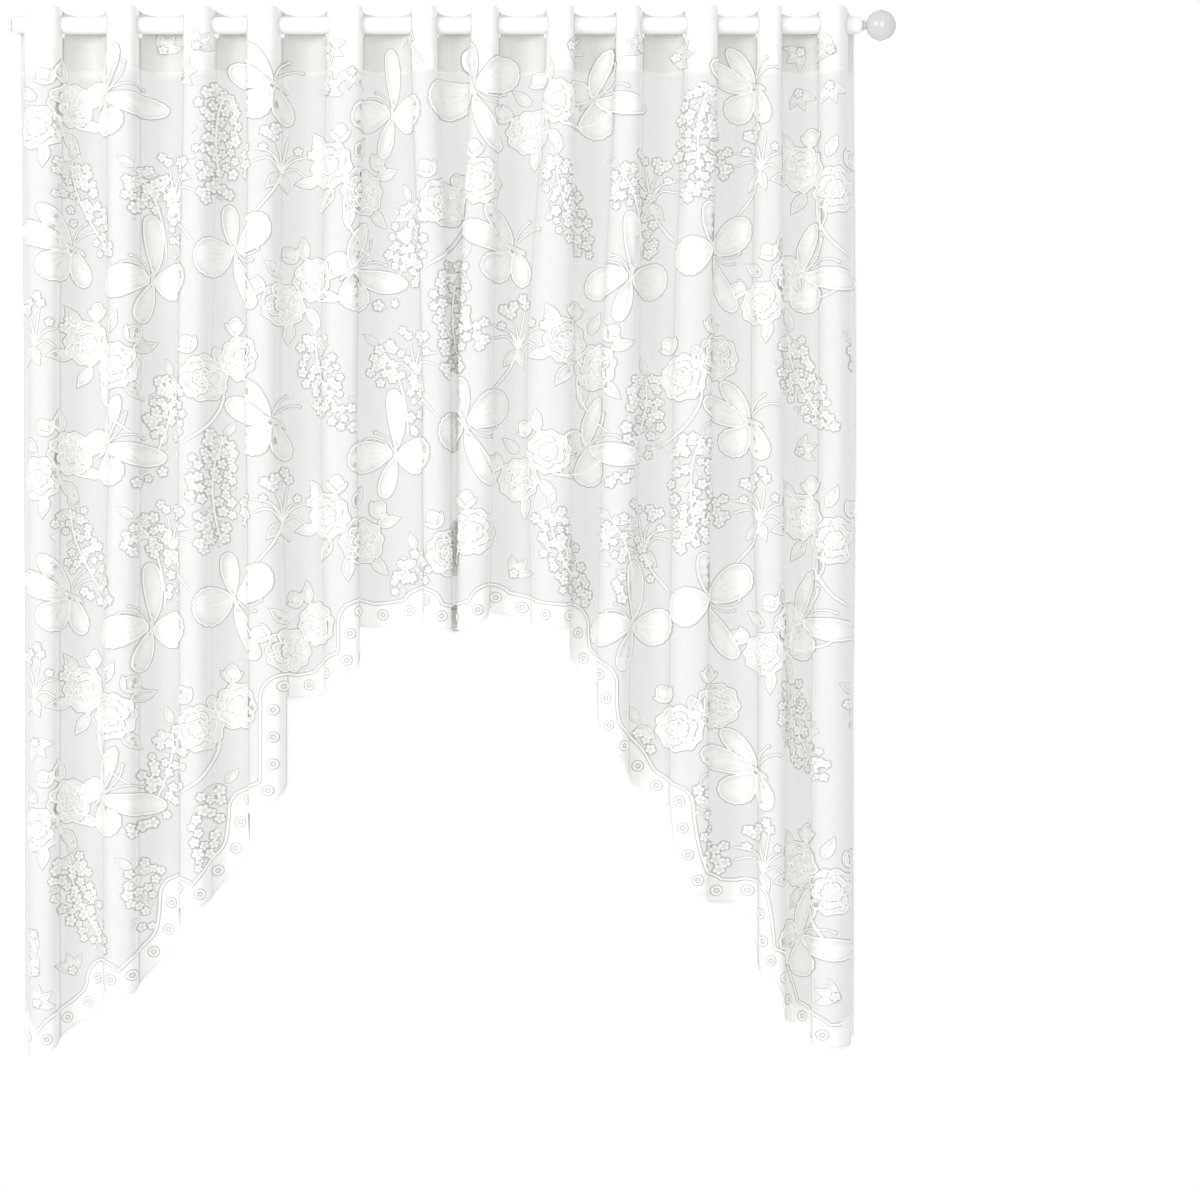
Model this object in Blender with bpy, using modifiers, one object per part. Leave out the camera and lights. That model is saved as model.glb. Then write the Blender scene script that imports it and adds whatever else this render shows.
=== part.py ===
"""Lace swag cafe curtain, gathered in twelve uneven folds on a plain curtain rod.

Units are metres. +Z is up, +X runs along the rod, and the face looks along -Y.
The origin is on the rod's centre line, at half the rod's length.

A place in the cloth is named by its fold coordinate and its height. Fold number n has
its front crest at coordinate n, the trough behind it at n + 0.5, and the cloth passes
from front to back about halfway between. The two side edges lie in troughs.
"""

import math
from collections import namedtuple

import bmesh
import bpy

# ------------------------------------------------------------------ driving sizes

OBJECT_NAME = "lace_cafe_curtain"

FIT_GAP = 0.0003  # air between pieces that touch on the real thing

ROD_LENGTH = 0.984
ROD_RADIUS = 0.010
ROD_END_ROUNDING = 0.005
ROD_SIDES = 32

BALL_RADIUS = 0.0181
BALL_NECK_RADIUS = 0.0045
BALL_NECK_LENGTH = 0.0035
BALL_RINGS = 14

TIP_RING_RADIUS = 0.0075
TIP_RING_WIDTH = 0.0025
TIP_WAIST_RADIUS = 0.0045
TIP_CONE_RADIUS = 0.0055
TIP_CONE_LENGTH = 0.0060
TIP_END_RADIUS = 0.0015

CLOTH_THICKNESS = 0.0012
HEADING_STAND_FRONT = 0.0196  # top edge above the rod's centre line, at a crest
HEADING_STAND_BACK = 0.0135  # the same behind the rod, in a trough
SLOT_RADIUS = 0.0125  # the cut slot that lets the rod through a fold's side
SLOT_REST = 0.0006  # from the rod's top to the slot's upper edge
SLOT_SIDES = 16

COLUMNS_PER_FOLD = 12
ROWS = 10

# Heights at which the fold table gives places and widths.
WAIST_HEIGHT = -0.43
LOW_HEIGHT = -0.80

# ------------------------------------------------------------------ the folds

Fold = namedtuple(
    "Fold",
    "rod_x rod_width waist_x waist_width low_x low_width "
    "left_side right_side front_depth back_depth",
)

# x and width of the front crest at the rod, at the waist and low down. left_side and
# right_side say how the cloth turns back: 0 slopes away softly, 1 stands square to the
# face, and more folds under. back_depth is the trough on the fold's right.
FOLDS = [
    Fold(-0.456, 0.044, -0.455, 0.034, -0.455, 0.034, 0.45, 0.85, 0.023, 0.021),
    Fold(-0.364, 0.038, -0.362, 0.036, -0.366, 0.040, 0.55, 0.75, 0.025, 0.020),
    Fold(-0.275, 0.036, -0.281, 0.038, -0.280, 0.036, 0.95, 0.35, 0.022, 0.019),
    Fold(-0.200, 0.039, -0.202, 0.038, -0.196, 0.044, 1.05, 0.55, 0.024, 0.022),
    Fold(-0.107, 0.042, -0.114, 0.040, -0.110, 0.040, 0.50, 1.05, 0.023, 0.020),
    Fold(-0.015, 0.030, -0.001, 0.032, 0.001, 0.032, 0.80, 0.90, 0.024, 0.018),
    Fold(0.055, 0.032, 0.044, 0.040, 0.040, 0.036, 0.95, 0.80, 0.022, 0.021),
    Fold(0.142, 0.032, 0.130, 0.052, 0.132, 0.042, 0.45, 1.05, 0.025, 0.020),
    Fold(0.222, 0.031, 0.212, 0.042, 0.203, 0.036, 0.90, 0.60, 0.023, 0.021),
    Fold(0.305, 0.038, 0.295, 0.043, 0.291, 0.044, 0.60, 1.05, 0.024, 0.022),
    Fold(0.384, 0.028, 0.382, 0.036, 0.387, 0.030, 0.75, 0.95, 0.022, 0.020),
    Fold(0.458, 0.034, 0.460, 0.036, 0.455, 0.044, 0.90, 0.45, 0.024, 0.017),
]

# The side edges, tucked back behind the rod: x at the rod, waist and low down.
Edge = namedtuple("Edge", "rod_x waist_x low_x depth")
LEFT_EDGE = Edge(-0.487, -0.484, -0.482, 0.017)
RIGHT_EDGE = Edge(0.484, 0.487, 0.484, 0.017)

FIRST_COORDINATE = 0.5
LAST_COORDINATE = len(FOLDS) + 0.5

# ------------------------------------------------------------------ the hem

Scallop = namedtuple("Scallop", "start end drop_start drop_end belly lean")

# One row for each scallop, or stretch of one, between two fold coordinates. Drops are
# below the rod's centre line. belly is how far the edge hangs below the straight line
# between its ends, and lean moves the deepest place to the right (over 1) or left.
HEM = [
    Scallop(0.50, 1.75, 1.170, 1.108, 0.043, 1.0),
    Scallop(1.75, 2.75, 1.108, 1.014, 0.052, 1.3),
    Scallop(2.75, 3.75, 1.009, 0.909, 0.052, 1.3),
    Scallop(3.75, 4.25, 0.909, 0.876, 0.009, 1.0),
    Scallop(4.25, 5.25, 0.777, 0.717, 0.023, 1.3),
    Scallop(5.25, 5.75, 0.690, 0.676, 0.012, 1.0),
    Scallop(5.75, 7.25, 0.679, 0.674, 0.025, 1.0),
    Scallop(7.25, 8.25, 0.673, 0.696, 0.007, 1.0),
    Scallop(8.25, 8.75, 0.706, 0.762, 0.016, 1.0),
    Scallop(8.75, 9.75, 0.764, 0.902, 0.039, 0.5),
    Scallop(9.75, 10.00, 0.909, 0.999, 0.007, 1.0),
    Scallop(10.00, 10.60, 0.999, 1.016, 0.007, 1.0),
    Scallop(10.60, 10.70, 1.016, 1.087, 0.000, 1.0),
    Scallop(10.70, 11.00, 1.087, 1.093, 0.004, 1.0),
    Scallop(11.00, 11.25, 1.094, 1.144, 0.009, 1.0),
    Scallop(11.25, 11.75, 1.144, 1.174, 0.002, 1.0),
    Scallop(11.75, 12.50, 1.174, 1.168, 0.009, 1.0),
]
SCALLOP_ROUNDNESS = 0.6  # under 1 gives round bellies with pointed notches between


# ------------------------------------------------------------------ cloth form


def mix(low, high, share):
    """The value a share of the way from low to high."""
    return low + (high - low) * share


def smooth_share(value, start, end):
    """0 at start, 1 at end, and level at both."""
    share = min(max((value - start) / (end - start), 0.0), 1.0)
    return share * share * (3 - 2 * share)


def at_height(height, rod, waist, low):
    """A measure of the folds at a height, from its values at the three heights."""
    above = mix(rod, waist, smooth_share(height, 0.0, WAIST_HEIGHT))
    return mix(above, low, smooth_share(height, WAIST_HEIGHT, LOW_HEIGHT))


def crest(number, height):
    """The x and width of a fold's front crest at a height."""
    fold = FOLDS[number - 1]
    x = at_height(height, fold.rod_x, fold.waist_x, fold.low_x)
    width = at_height(height, fold.rod_width, fold.waist_width, fold.low_width)
    return x, width


def trough(number, height):
    """The x and depth of the trough to the right of a fold, or of a side edge."""
    if number == 0:
        edge = LEFT_EDGE
        return at_height(height, edge.rod_x, edge.waist_x, edge.low_x), edge.depth
    if number == len(FOLDS):
        edge = RIGHT_EDGE
        return at_height(height, edge.rod_x, edge.waist_x, edge.low_x), edge.depth
    left_x, left_width = crest(number, height)
    right_x, right_width = crest(number + 1, height)
    middle = (left_x + left_width / 2 + right_x - right_width / 2) / 2
    return middle, FOLDS[number - 1].back_depth


def drape(coordinate, height):
    """The x and y of the cloth at a fold coordinate and a height."""
    number = min(max(round(coordinate), 1), len(FOLDS))
    fold = FOLDS[number - 1]
    crest_x, width = crest(number, height)
    offset = coordinate - number
    if offset < 0:
        direction, side = -1, fold.left_side
        trough_x, back = trough(number - 1, height)
    else:
        direction, side = 1, fold.right_side
        trough_x, back = trough(number, height)
    turn = 2 * abs(offset)  # 0 at the crest, 1 at the trough
    run = abs(trough_x - crest_x)
    ahead = run * (turn + side * math.sin(2 * math.pi * turn) / (2 * math.pi))
    ahead += (width / 2 - run / 2) * math.sin(math.pi * turn) ** 2
    y = mix(-fold.front_depth, back, (1 - math.cos(math.pi * turn)) / 2)
    return crest_x + direction * ahead, y


def top_edge(coordinate):
    """Height of the heading's top edge: higher on a crest than in a trough."""
    behind = (1 - math.cos(2 * math.pi * coordinate)) / 2
    return mix(HEADING_STAND_FRONT, HEADING_STAND_BACK, behind)


def hem_edge(coordinate):
    """Height of the scalloped hem."""
    for scallop in HEM:
        if coordinate <= scallop.end:
            break
    share = (coordinate - scallop.start) / (scallop.end - scallop.start)
    share = min(max(share, 0.0), 1.0)
    leant = share**scallop.lean
    hang = scallop.belly * (4 * leant * (1 - leant)) ** SCALLOP_ROUNDNESS
    return -(mix(scallop.drop_start, scallop.drop_end, share) + hang)


# ------------------------------------------------------------------ Blender helpers


def clear_scene():
    for thing in list(bpy.data.objects):
        bpy.data.objects.remove(thing, do_unlink=True)


def new_collection(name):
    collection = bpy.data.collections.new(name)
    bpy.context.scene.collection.children.link(collection)
    return collection


def finish(name, colour, roughness, metallic=0.0):
    """A Principled material of one colour."""
    material = bpy.data.materials.new(name)
    material.use_nodes = True
    shader = material.node_tree.nodes["Principled BSDF"]
    shader.inputs["Base Color"].default_value = (*colour, 1.0)
    shader.inputs["Roughness"].default_value = roughness
    shader.inputs["Metallic"].default_value = metallic
    return material


def place(name, mesh, collection, material=None):
    """An object of this name that shows the mesh, in a collection."""
    made = bpy.data.objects.new(name, mesh)
    collection.objects.link(made)
    if material:
        mesh.materials.append(material)
    return made


def turned(name, profile, collection, material):
    """A piece turned about the rod's axis, from (radius, distance along +X) points.

    The profile runs from the far end back towards the rod's middle.
    """
    mesh = bpy.data.meshes.new(name)
    points = [(radius, 0.0, along) for radius, along in profile]
    mesh.from_pydata(points, [(i, i + 1) for i in range(len(points) - 1)], [])
    made = place(name, mesh, collection, material)
    made.rotation_euler.y = math.pi / 2
    spin = made.modifiers.new("Turn", "SCREW")
    spin.steps = ROD_SIDES
    spin.render_steps = ROD_SIDES
    spin.use_merge_vertices = True
    spin.merge_threshold = 0.00001
    spin.use_smooth_shade = True
    return made


# ------------------------------------------------------------------ pieces


def lying_cylinder(name, radius, length, sides, height=0.0):
    """A closed cylinder along X, centred over the origin."""
    bpy.ops.mesh.primitive_cylinder_add(
        vertices=sides,
        radius=radius,
        depth=length,
        location=(0.0, 0.0, height),
        rotation=(0.0, math.pi / 2, 0.0),
    )
    made = bpy.context.object
    made.name = name
    made.data.name = name
    return made


def move_to(made, collection):
    for old in list(made.users_collection):
        old.objects.unlink(made)
    collection.objects.link(made)


def add_rod(collection, material):
    rod = lying_cylinder("rod", ROD_RADIUS, ROD_LENGTH, ROD_SIDES)
    move_to(rod, collection)
    rod.data.materials.append(material)
    rounding = rod.modifiers.new("Rounded ends", "BEVEL")
    rounding.width = ROD_END_ROUNDING
    rounding.segments = 4
    rounding.limit_method = "ANGLE"
    rod.data.shade_smooth()
    rod.data.set_sharp_from_angle(angle=math.radians(50))
    return rod


def add_ball_finial(collection, material):
    """A ball on a short neck at the rod's right end."""
    inner_end = ROD_LENGTH / 2 + FIT_GAP
    reach = math.sqrt(BALL_RADIUS**2 - BALL_NECK_RADIUS**2)
    centre = inner_end + BALL_NECK_LENGTH + reach
    neck_angle = math.pi - math.asin(BALL_NECK_RADIUS / BALL_RADIUS)
    profile = []
    for ring in range(BALL_RINGS + 1):
        angle = neck_angle * ring / BALL_RINGS
        along = centre + BALL_RADIUS * math.cos(angle)
        profile.append((BALL_RADIUS * math.sin(angle), along))
    profile.append((BALL_NECK_RADIUS, inner_end))
    profile.append((0.0, inner_end))
    return turned("ball_finial", profile, collection, material)


def add_tip_finial(collection, material):
    """A turned plug with a ring and a blunt cone at the rod's left end."""
    inner_end = -ROD_LENGTH / 2 - FIT_GAP
    ring_end = inner_end - TIP_RING_WIDTH
    cone_start = ring_end - 0.0005
    cone_end = cone_start - TIP_CONE_LENGTH
    profile = [
        (0.0, inner_end),
        (TIP_RING_RADIUS * 0.9, inner_end),
        (TIP_RING_RADIUS, inner_end - TIP_RING_WIDTH * 0.3),
        (TIP_RING_RADIUS, inner_end - TIP_RING_WIDTH * 0.7),
        (TIP_RING_RADIUS * 0.85, ring_end),
        (TIP_WAIST_RADIUS, ring_end),
        (TIP_CONE_RADIUS, cone_start),
        (mix(TIP_CONE_RADIUS, TIP_END_RADIUS, 0.45), mix(cone_start, cone_end, 0.55)),
        (TIP_END_RADIUS, cone_end),
        (0.0, cone_end),
    ]
    return turned("tip_finial", profile, collection, material)


def add_slot_cutter(collection):
    """The round opening cut through each fold's sides, a little larger than the rod."""
    drop = SLOT_RADIUS - ROD_RADIUS - SLOT_REST
    cutter = lying_cylinder("slot_cutter", SLOT_RADIUS, ROD_LENGTH * 1.1, SLOT_SIDES, -drop)
    move_to(cutter, collection)
    cutter.hide_render = True
    cutter.display_type = "WIRE"
    return cutter


def add_curtain(collection, material, slot_cutter):
    """One sheet: a flat grid hung into its folds, given its thickness, then slotted."""
    columns = len(FOLDS) * COLUMNS_PER_FOLD
    cloth = bmesh.new()
    bmesh.ops.create_grid(cloth, x_segments=columns, y_segments=ROWS, size=0.5)
    for vertex in cloth.verts:
        across = vertex.co.x + 0.5
        down = 0.5 - vertex.co.y
        coordinate = mix(FIRST_COORDINATE, LAST_COORDINATE, across)
        height = mix(top_edge(coordinate), hem_edge(coordinate), down)
        x, y = drape(coordinate, height)
        vertex.co = (x, y, height)
    mesh = bpy.data.meshes.new("curtain")
    cloth.to_mesh(mesh)
    cloth.free()
    curtain = place("curtain", mesh, collection, material)

    body = curtain.modifiers.new("Cloth thickness", "SOLIDIFY")
    body.thickness = CLOTH_THICKNESS
    body.offset = 0.0

    slots = curtain.modifiers.new("Rod slots", "BOOLEAN")
    slots.operation = "DIFFERENCE"
    slots.solver = "EXACT"
    slots.object = slot_cutter
    mesh.shade_smooth()
    mesh.set_sharp_from_angle(angle=math.radians(60))
    return curtain


def build():
    clear_scene()
    parts = new_collection(OBJECT_NAME)
    cutters = new_collection("cutters")

    lace = finish("white_lace", (0.90, 0.90, 0.88), 0.85)
    white_paint = finish("white_paint", (0.88, 0.88, 0.87), 0.35)
    white_gloss = finish("white_gloss", (0.72, 0.72, 0.71), 0.12)

    add_rod(parts, white_paint)
    add_ball_finial(parts, white_gloss)
    add_tip_finial(parts, white_paint)
    add_curtain(parts, lace, add_slot_cutter(cutters))


build()
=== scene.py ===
# %% [markdown]
# # A lace swag cafe curtain on a rod
#
# A cafe curtain hangs in a window on a light rod. This one is a swag: its lower edge is
# cut to an arch, so that two long tails frame the glass and the middle stays clear.
# The cloth is a warp-knitted lace. A sheer net ground carries dense, slightly raised
# motifs (butterflies, roses, sprays of blossom), and a close border with woven rings
# follows the scalloped hem. The rod is threaded in and out of slots in the heading.
#
# The lesson builds the curtain the way that it is made: first the flat cloth and its
# patterns, then one function that hangs any flat point in its place in the folds.

# %% Load the frame
import math
from collections import namedtuple

import bpy
import numpy as np
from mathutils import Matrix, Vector
from mathutils.geometry import delaunay_2d_cdt
from mathutils.kdtree import KDTree


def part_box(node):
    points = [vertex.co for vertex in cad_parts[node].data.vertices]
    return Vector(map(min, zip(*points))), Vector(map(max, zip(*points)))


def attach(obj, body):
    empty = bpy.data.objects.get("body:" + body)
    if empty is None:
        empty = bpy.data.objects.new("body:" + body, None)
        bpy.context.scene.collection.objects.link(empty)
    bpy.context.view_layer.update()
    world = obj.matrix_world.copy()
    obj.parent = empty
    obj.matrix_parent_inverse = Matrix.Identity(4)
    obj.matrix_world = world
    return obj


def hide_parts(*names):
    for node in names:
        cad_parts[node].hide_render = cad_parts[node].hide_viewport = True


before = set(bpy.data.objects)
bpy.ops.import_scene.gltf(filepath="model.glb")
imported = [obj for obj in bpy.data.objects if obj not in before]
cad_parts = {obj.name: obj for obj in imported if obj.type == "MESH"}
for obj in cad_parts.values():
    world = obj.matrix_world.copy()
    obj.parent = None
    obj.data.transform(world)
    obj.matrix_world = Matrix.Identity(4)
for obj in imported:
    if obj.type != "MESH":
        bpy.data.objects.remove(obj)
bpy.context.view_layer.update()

BODY = "root"
MM = 0.001

rod_low, rod_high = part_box("rod")
ROD_RADIUS = (rod_high.z - rod_low.z) / 2
ROD_HALF = rod_high.x
cloth_low, cloth_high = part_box("curtain")
print("rod radius", round(ROD_RADIUS, 4), "half length", round(ROD_HALF, 4))
print("cloth from", tuple(cloth_low), "to", tuple(cloth_high))

# %% [markdown]
# ## The folds
#
# Twelve folds stand in front of the rod, none quite like its neighbour. A table with a
# row for each fold is easier to adjust than a simulation, and it keeps this cloth on
# the folds of the solid model. Every row gives the crest's place and width at three
# heights (at the rod, at the waist and low down), how squarely each side turns back,
# and how deep the fold stands in front of and behind the rod.
#
# A place in the cloth is named by its fold coordinate: fold n has its crest at n and
# the trough on its right at n + 0.5.

# %% Fold and hem tables
Fold = namedtuple(
    "Fold",
    "rod_x rod_width waist_x waist_width low_x low_width "
    "left_side right_side front_depth back_depth",
)
FOLDS = [
    Fold(-0.456, 0.044, -0.455, 0.034, -0.455, 0.034, 0.45, 0.85, 0.023, 0.021),
    Fold(-0.364, 0.038, -0.362, 0.036, -0.366, 0.040, 0.55, 0.75, 0.025, 0.020),
    Fold(-0.275, 0.036, -0.281, 0.038, -0.280, 0.036, 0.95, 0.35, 0.022, 0.019),
    Fold(-0.200, 0.039, -0.202, 0.038, -0.196, 0.044, 1.05, 0.55, 0.024, 0.022),
    Fold(-0.107, 0.042, -0.114, 0.040, -0.110, 0.040, 0.50, 1.05, 0.023, 0.020),
    Fold(-0.015, 0.030, -0.001, 0.032, 0.001, 0.032, 0.80, 0.90, 0.024, 0.018),
    Fold(0.055, 0.032, 0.044, 0.040, 0.040, 0.036, 0.95, 0.80, 0.022, 0.021),
    Fold(0.142, 0.032, 0.130, 0.052, 0.132, 0.042, 0.45, 1.05, 0.025, 0.020),
    Fold(0.222, 0.031, 0.212, 0.042, 0.203, 0.036, 0.90, 0.60, 0.023, 0.021),
    Fold(0.305, 0.038, 0.295, 0.043, 0.291, 0.044, 0.60, 1.05, 0.024, 0.022),
    Fold(0.384, 0.028, 0.382, 0.036, 0.387, 0.030, 0.75, 0.95, 0.022, 0.020),
    Fold(0.458, 0.034, 0.460, 0.036, 0.455, 0.044, 0.90, 0.45, 0.024, 0.017),
]
WAIST_HEIGHT = -0.43
LOW_HEIGHT = -0.80

# The side edges are tucked back behind the rod.
Edge = namedtuple("Edge", "rod_x waist_x low_x depth")
LEFT_EDGE = Edge(-0.487, -0.484, -0.482, 0.017)
RIGHT_EDGE = Edge(0.484, 0.487, 0.484, 0.017)

FIRST, LAST = 0.5, len(FOLDS) + 0.5

# Each scallop hangs by its belly below the straight line between its two ends.
Scallop = namedtuple("Scallop", "start end drop_start drop_end belly lean")
HEM = [
    Scallop(0.50, 1.75, 1.170, 1.108, 0.043, 1.0),
    Scallop(1.75, 2.75, 1.108, 1.014, 0.052, 1.3),
    Scallop(2.75, 3.75, 1.009, 0.909, 0.052, 1.3),
    Scallop(3.75, 4.25, 0.909, 0.876, 0.009, 1.0),
    Scallop(4.25, 5.25, 0.777, 0.717, 0.023, 1.3),
    Scallop(5.25, 5.75, 0.690, 0.676, 0.012, 1.0),
    Scallop(5.75, 7.25, 0.679, 0.674, 0.025, 1.0),
    Scallop(7.25, 8.25, 0.673, 0.696, 0.007, 1.0),
    Scallop(8.25, 8.75, 0.706, 0.762, 0.016, 1.0),
    Scallop(8.75, 9.75, 0.764, 0.902, 0.039, 0.5),
    Scallop(9.75, 10.00, 0.909, 0.999, 0.007, 1.0),
    Scallop(10.00, 10.60, 0.999, 1.016, 0.007, 1.0),
    Scallop(10.60, 10.70, 1.016, 1.087, 0.000, 1.0),
    Scallop(10.70, 11.00, 1.087, 1.093, 0.004, 1.0),
    Scallop(11.00, 11.25, 1.094, 1.144, 0.009, 1.0),
    Scallop(11.25, 11.75, 1.144, 1.174, 0.002, 1.0),
    Scallop(11.75, 12.50, 1.174, 1.168, 0.009, 1.0),
]
SCALLOP_ROUNDNESS = 0.6
HEADING_FRONT = 0.0196
HEADING_BACK = 0.0135

# %% Hang a fold coordinate and a height in space


def column(name):
    """One column of the fold table as an array."""
    return np.array([getattr(fold, name) for fold in FOLDS])


def mix(low, high, share):
    return low + (high - low) * share


def smooth_share(value, start, end):
    """0 at start, 1 at end, and level at both."""
    share = np.clip((value - start) / (end - start), 0.0, 1.0)
    return share * share * (3 - 2 * share)


def at_height(height, rod, waist, low):
    above = mix(rod, waist, smooth_share(height, 0.0, WAIST_HEIGHT))
    return mix(above, low, smooth_share(height, WAIST_HEIGHT, LOW_HEIGHT))


def crest(number, height):
    row = number - 1
    x = at_height(height, *(column(name)[row] for name in ("rod_x", "waist_x", "low_x")))
    widths = (column(name)[row] for name in ("rod_width", "waist_width", "low_width"))
    return x, at_height(height, *widths)


def trough(number, height):
    """The x and depth of the trough on a fold's right; 0 and the last are side edges."""
    left_x, left_width = crest(np.maximum(number, 1), height)
    right_x, right_width = crest(np.minimum(number + 1, len(FOLDS)), height)
    x = (left_x + left_width / 2 + right_x - right_width / 2) / 2
    depth = column("back_depth")[np.maximum(number, 1) - 1]
    for edge, place in ((LEFT_EDGE, 0), (RIGHT_EDGE, len(FOLDS))):
        edge_x = at_height(height, edge.rod_x, edge.waist_x, edge.low_x)
        x = np.where(number == place, edge_x, x)
        depth = np.where(number == place, edge.depth, depth)
    return x, depth


def drape(coordinate, height):
    """The x and y of the folds, the same as those of the solid model."""
    number = np.clip(np.round(coordinate), 1, len(FOLDS)).astype(int)
    crest_x, width = crest(number, height)
    offset = coordinate - number
    on_left = offset < 0
    trough_x, back = trough(number - on_left, height)
    side = np.where(on_left, column("left_side")[number - 1], column("right_side")[number - 1])
    turn = 2 * np.abs(offset)
    run = np.abs(trough_x - crest_x)
    ahead = run * (turn + side * np.sin(2 * np.pi * turn) / (2 * np.pi))
    ahead = ahead + (width / 2 - run / 2) * np.sin(np.pi * turn) ** 2
    front = column("front_depth")[number - 1]
    y = mix(-front, back, (1 - np.cos(np.pi * turn)) / 2)
    return crest_x + np.where(on_left, -1, 1) * ahead, y


def top_edge(coordinate):
    behind = (1 - np.cos(2 * np.pi * coordinate)) / 2
    return mix(HEADING_FRONT, HEADING_BACK, behind)


def hem_edge(coordinate):
    """Height of the scalloped hem at each fold coordinate."""
    coordinate = np.asarray(coordinate, float)
    ends = np.array([scallop.end for scallop in HEM])
    row = np.minimum(np.searchsorted(ends, coordinate), len(HEM) - 1)
    start, end, high, low, belly, lean = np.array(HEM)[row].T
    share = np.clip((coordinate.ravel() - start.T.ravel()) / (end - start).T.ravel(), 0, 1)
    leant = share ** lean.T.ravel()
    hang_down = belly.T.ravel() * (4 * leant * (1 - leant)) ** SCALLOP_ROUNDNESS
    drop = mix(high.T.ravel(), low.T.ravel(), share) + hang_down
    return -drop.reshape(coordinate.shape)


# %% [markdown]
# ## Creases inside the folds
#
# Between the main folds the cloth has soft ridges, where the heading pushes a little
# more cloth through one slot than through the next. They are listed, a row each, as a
# rounded ridge that fades out at its two ends. A slow ripple over the whole cloth keeps
# even the plain stretches from looking ruled.

# %% Creases
Crease = namedtuple("Crease", "coordinate top_height low_height width rise slant")
CREASES = [
    Crease(1.62, -0.10, -0.62, 0.045, 0.0022, 0.02),
    Crease(2.42, -0.04, -0.30, 0.040, 0.0020, -0.05),
    Crease(2.55, -0.55, -0.98, 0.050, 0.0024, 0.05),
    Crease(3.60, -0.12, -0.36, 0.040, 0.0020, 0.10),
    Crease(4.48, -0.10, -0.42, 0.045, 0.0024, -0.08),
    Crease(5.58, -0.03, -0.70, 0.035, 0.0036, 0.05),
    Crease(6.50, -0.12, -0.90, 0.110, 0.0120, 0.00),
    Crease(7.64, -0.05, -0.34, 0.040, 0.0028, -0.10),
    Crease(8.46, -0.25, -0.70, 0.040, 0.0022, 0.04),
    Crease(9.52, -0.06, -0.40, 0.045, 0.0020, 0.06),
    Crease(10.48, -0.20, -0.80, 0.045, 0.0022, -0.04),
    Crease(11.52, -0.08, -0.95, 0.035, 0.0028, 0.03),
    # Tucks that fan down from the rod on the loops of the heading.
    Crease(1.06, -0.010, -0.062, 0.040, 0.0022, 3.2),
    Crease(1.93, -0.012, -0.058, 0.035, 0.0020, -2.6),
    Crease(2.08, -0.010, -0.050, 0.030, 0.0016, 2.4),
    Crease(3.02, -0.010, -0.056, 0.035, 0.0018, 1.8),
    Crease(4.05, -0.012, -0.066, 0.040, 0.0022, 3.0),
    Crease(4.94, -0.010, -0.055, 0.035, 0.0020, -2.8),
    Crease(5.98, -0.012, -0.050, 0.035, 0.0022, -2.2),
    Crease(6.10, -0.014, -0.060, 0.030, 0.0016, 2.6),
    Crease(7.04, -0.010, -0.052, 0.035, 0.0022, 2.8),
    Crease(7.95, -0.012, -0.064, 0.035, 0.0020, -2.4),
    Crease(9.03, -0.010, -0.056, 0.035, 0.0020, 2.6),
    Crease(9.95, -0.012, -0.060, 0.040, 0.0022, -3.0),
    Crease(11.04, -0.010, -0.052, 0.035, 0.0018, 2.2),
    Crease(11.96, -0.012, -0.064, 0.040, 0.0022, -2.8),
]
RIPPLE = 0.0007


def creased(coordinate, height):
    """How far the small creases bring the cloth forward of its folds."""
    rise = np.zeros(np.broadcast(coordinate, height).shape)
    for crease in CREASES:
        middle = (crease.top_height + crease.low_height) / 2
        line = crease.coordinate + crease.slant * (middle - height)
        across = (coordinate - line) / crease.width
        reach = (crease.top_height - crease.low_height) / 2
        along = np.clip(np.abs(height - middle) / reach, 0, 1)
        rise = rise + crease.rise * np.exp(-across * across) * np.cos(along * np.pi / 2) ** 2
    ripple = np.sin(7.3 * coordinate + 11 * height) * np.sin(2.9 * coordinate - 23 * height)
    settled = smooth_share(height, -0.03, -0.12)
    return rise + RIPPLE * ripple * settled


def surface(coordinate, height):
    """Points of the cloth's face, as an array whose last axis is x, y, z."""
    coordinate, height = np.broadcast_arrays(coordinate, height)
    x, y = drape(coordinate, height)
    return np.stack([x, y - creased(coordinate, height), height], -1)


def face_normal(coordinate, height):
    """The outward direction of the cloth's front face."""
    step = 0.001
    across = surface(coordinate + step, height) - surface(coordinate - step, height)
    up = surface(coordinate, height + step) - surface(coordinate, height - step)
    normal = np.cross(across, up)
    return normal / np.linalg.norm(normal, axis=-1, keepdims=True)


# %% [markdown]
# ## Flat cloth coordinates
#
# Two measures run across the cloth. The true one follows every fold and gives the cut
# width. The drawn one counts a fold's depth at less than a third: a pattern for
# gathered lace is drawn wide, so that a butterfly still reads as one when the side of
# a fold takes part of it away. The hem's line in drawn cloth also tells how far each
# point is from the edge.

# %% Measure the cloth round its folds
MEASURE_HEIGHT = -0.35
DEPTH_SHARE = 0.28
fine = np.linspace(FIRST, LAST, 4801)


def measured(depth_share):
    """Distance along the folds from the left edge, with depth counted at a share."""
    steps = np.diff(surface(fine, MEASURE_HEIGHT), axis=0) * (1.0, depth_share, 1.0)
    return np.concatenate([[0.0], np.cumsum(np.linalg.norm(steps, axis=1))])


true_fine = measured(1.0)
drawn_fine = measured(DEPTH_SHARE)
CUT_WIDTH, DRAWN_WIDTH = true_fine[-1], drawn_fine[-1]


def coordinate_at(across):
    return np.interp(across, drawn_fine, fine)


def across_at(coordinate):
    return np.interp(coordinate, fine, drawn_fine)


def hang(flat):
    """Space points for flat ones: across, height, and lift off the cloth's face."""
    flat = np.asarray(flat, float)
    coordinate = coordinate_at(flat[:, 0])
    points = surface(coordinate, flat[:, 1])
    return points + face_normal(coordinate, flat[:, 1]) * flat[:, 2:3]


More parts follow.
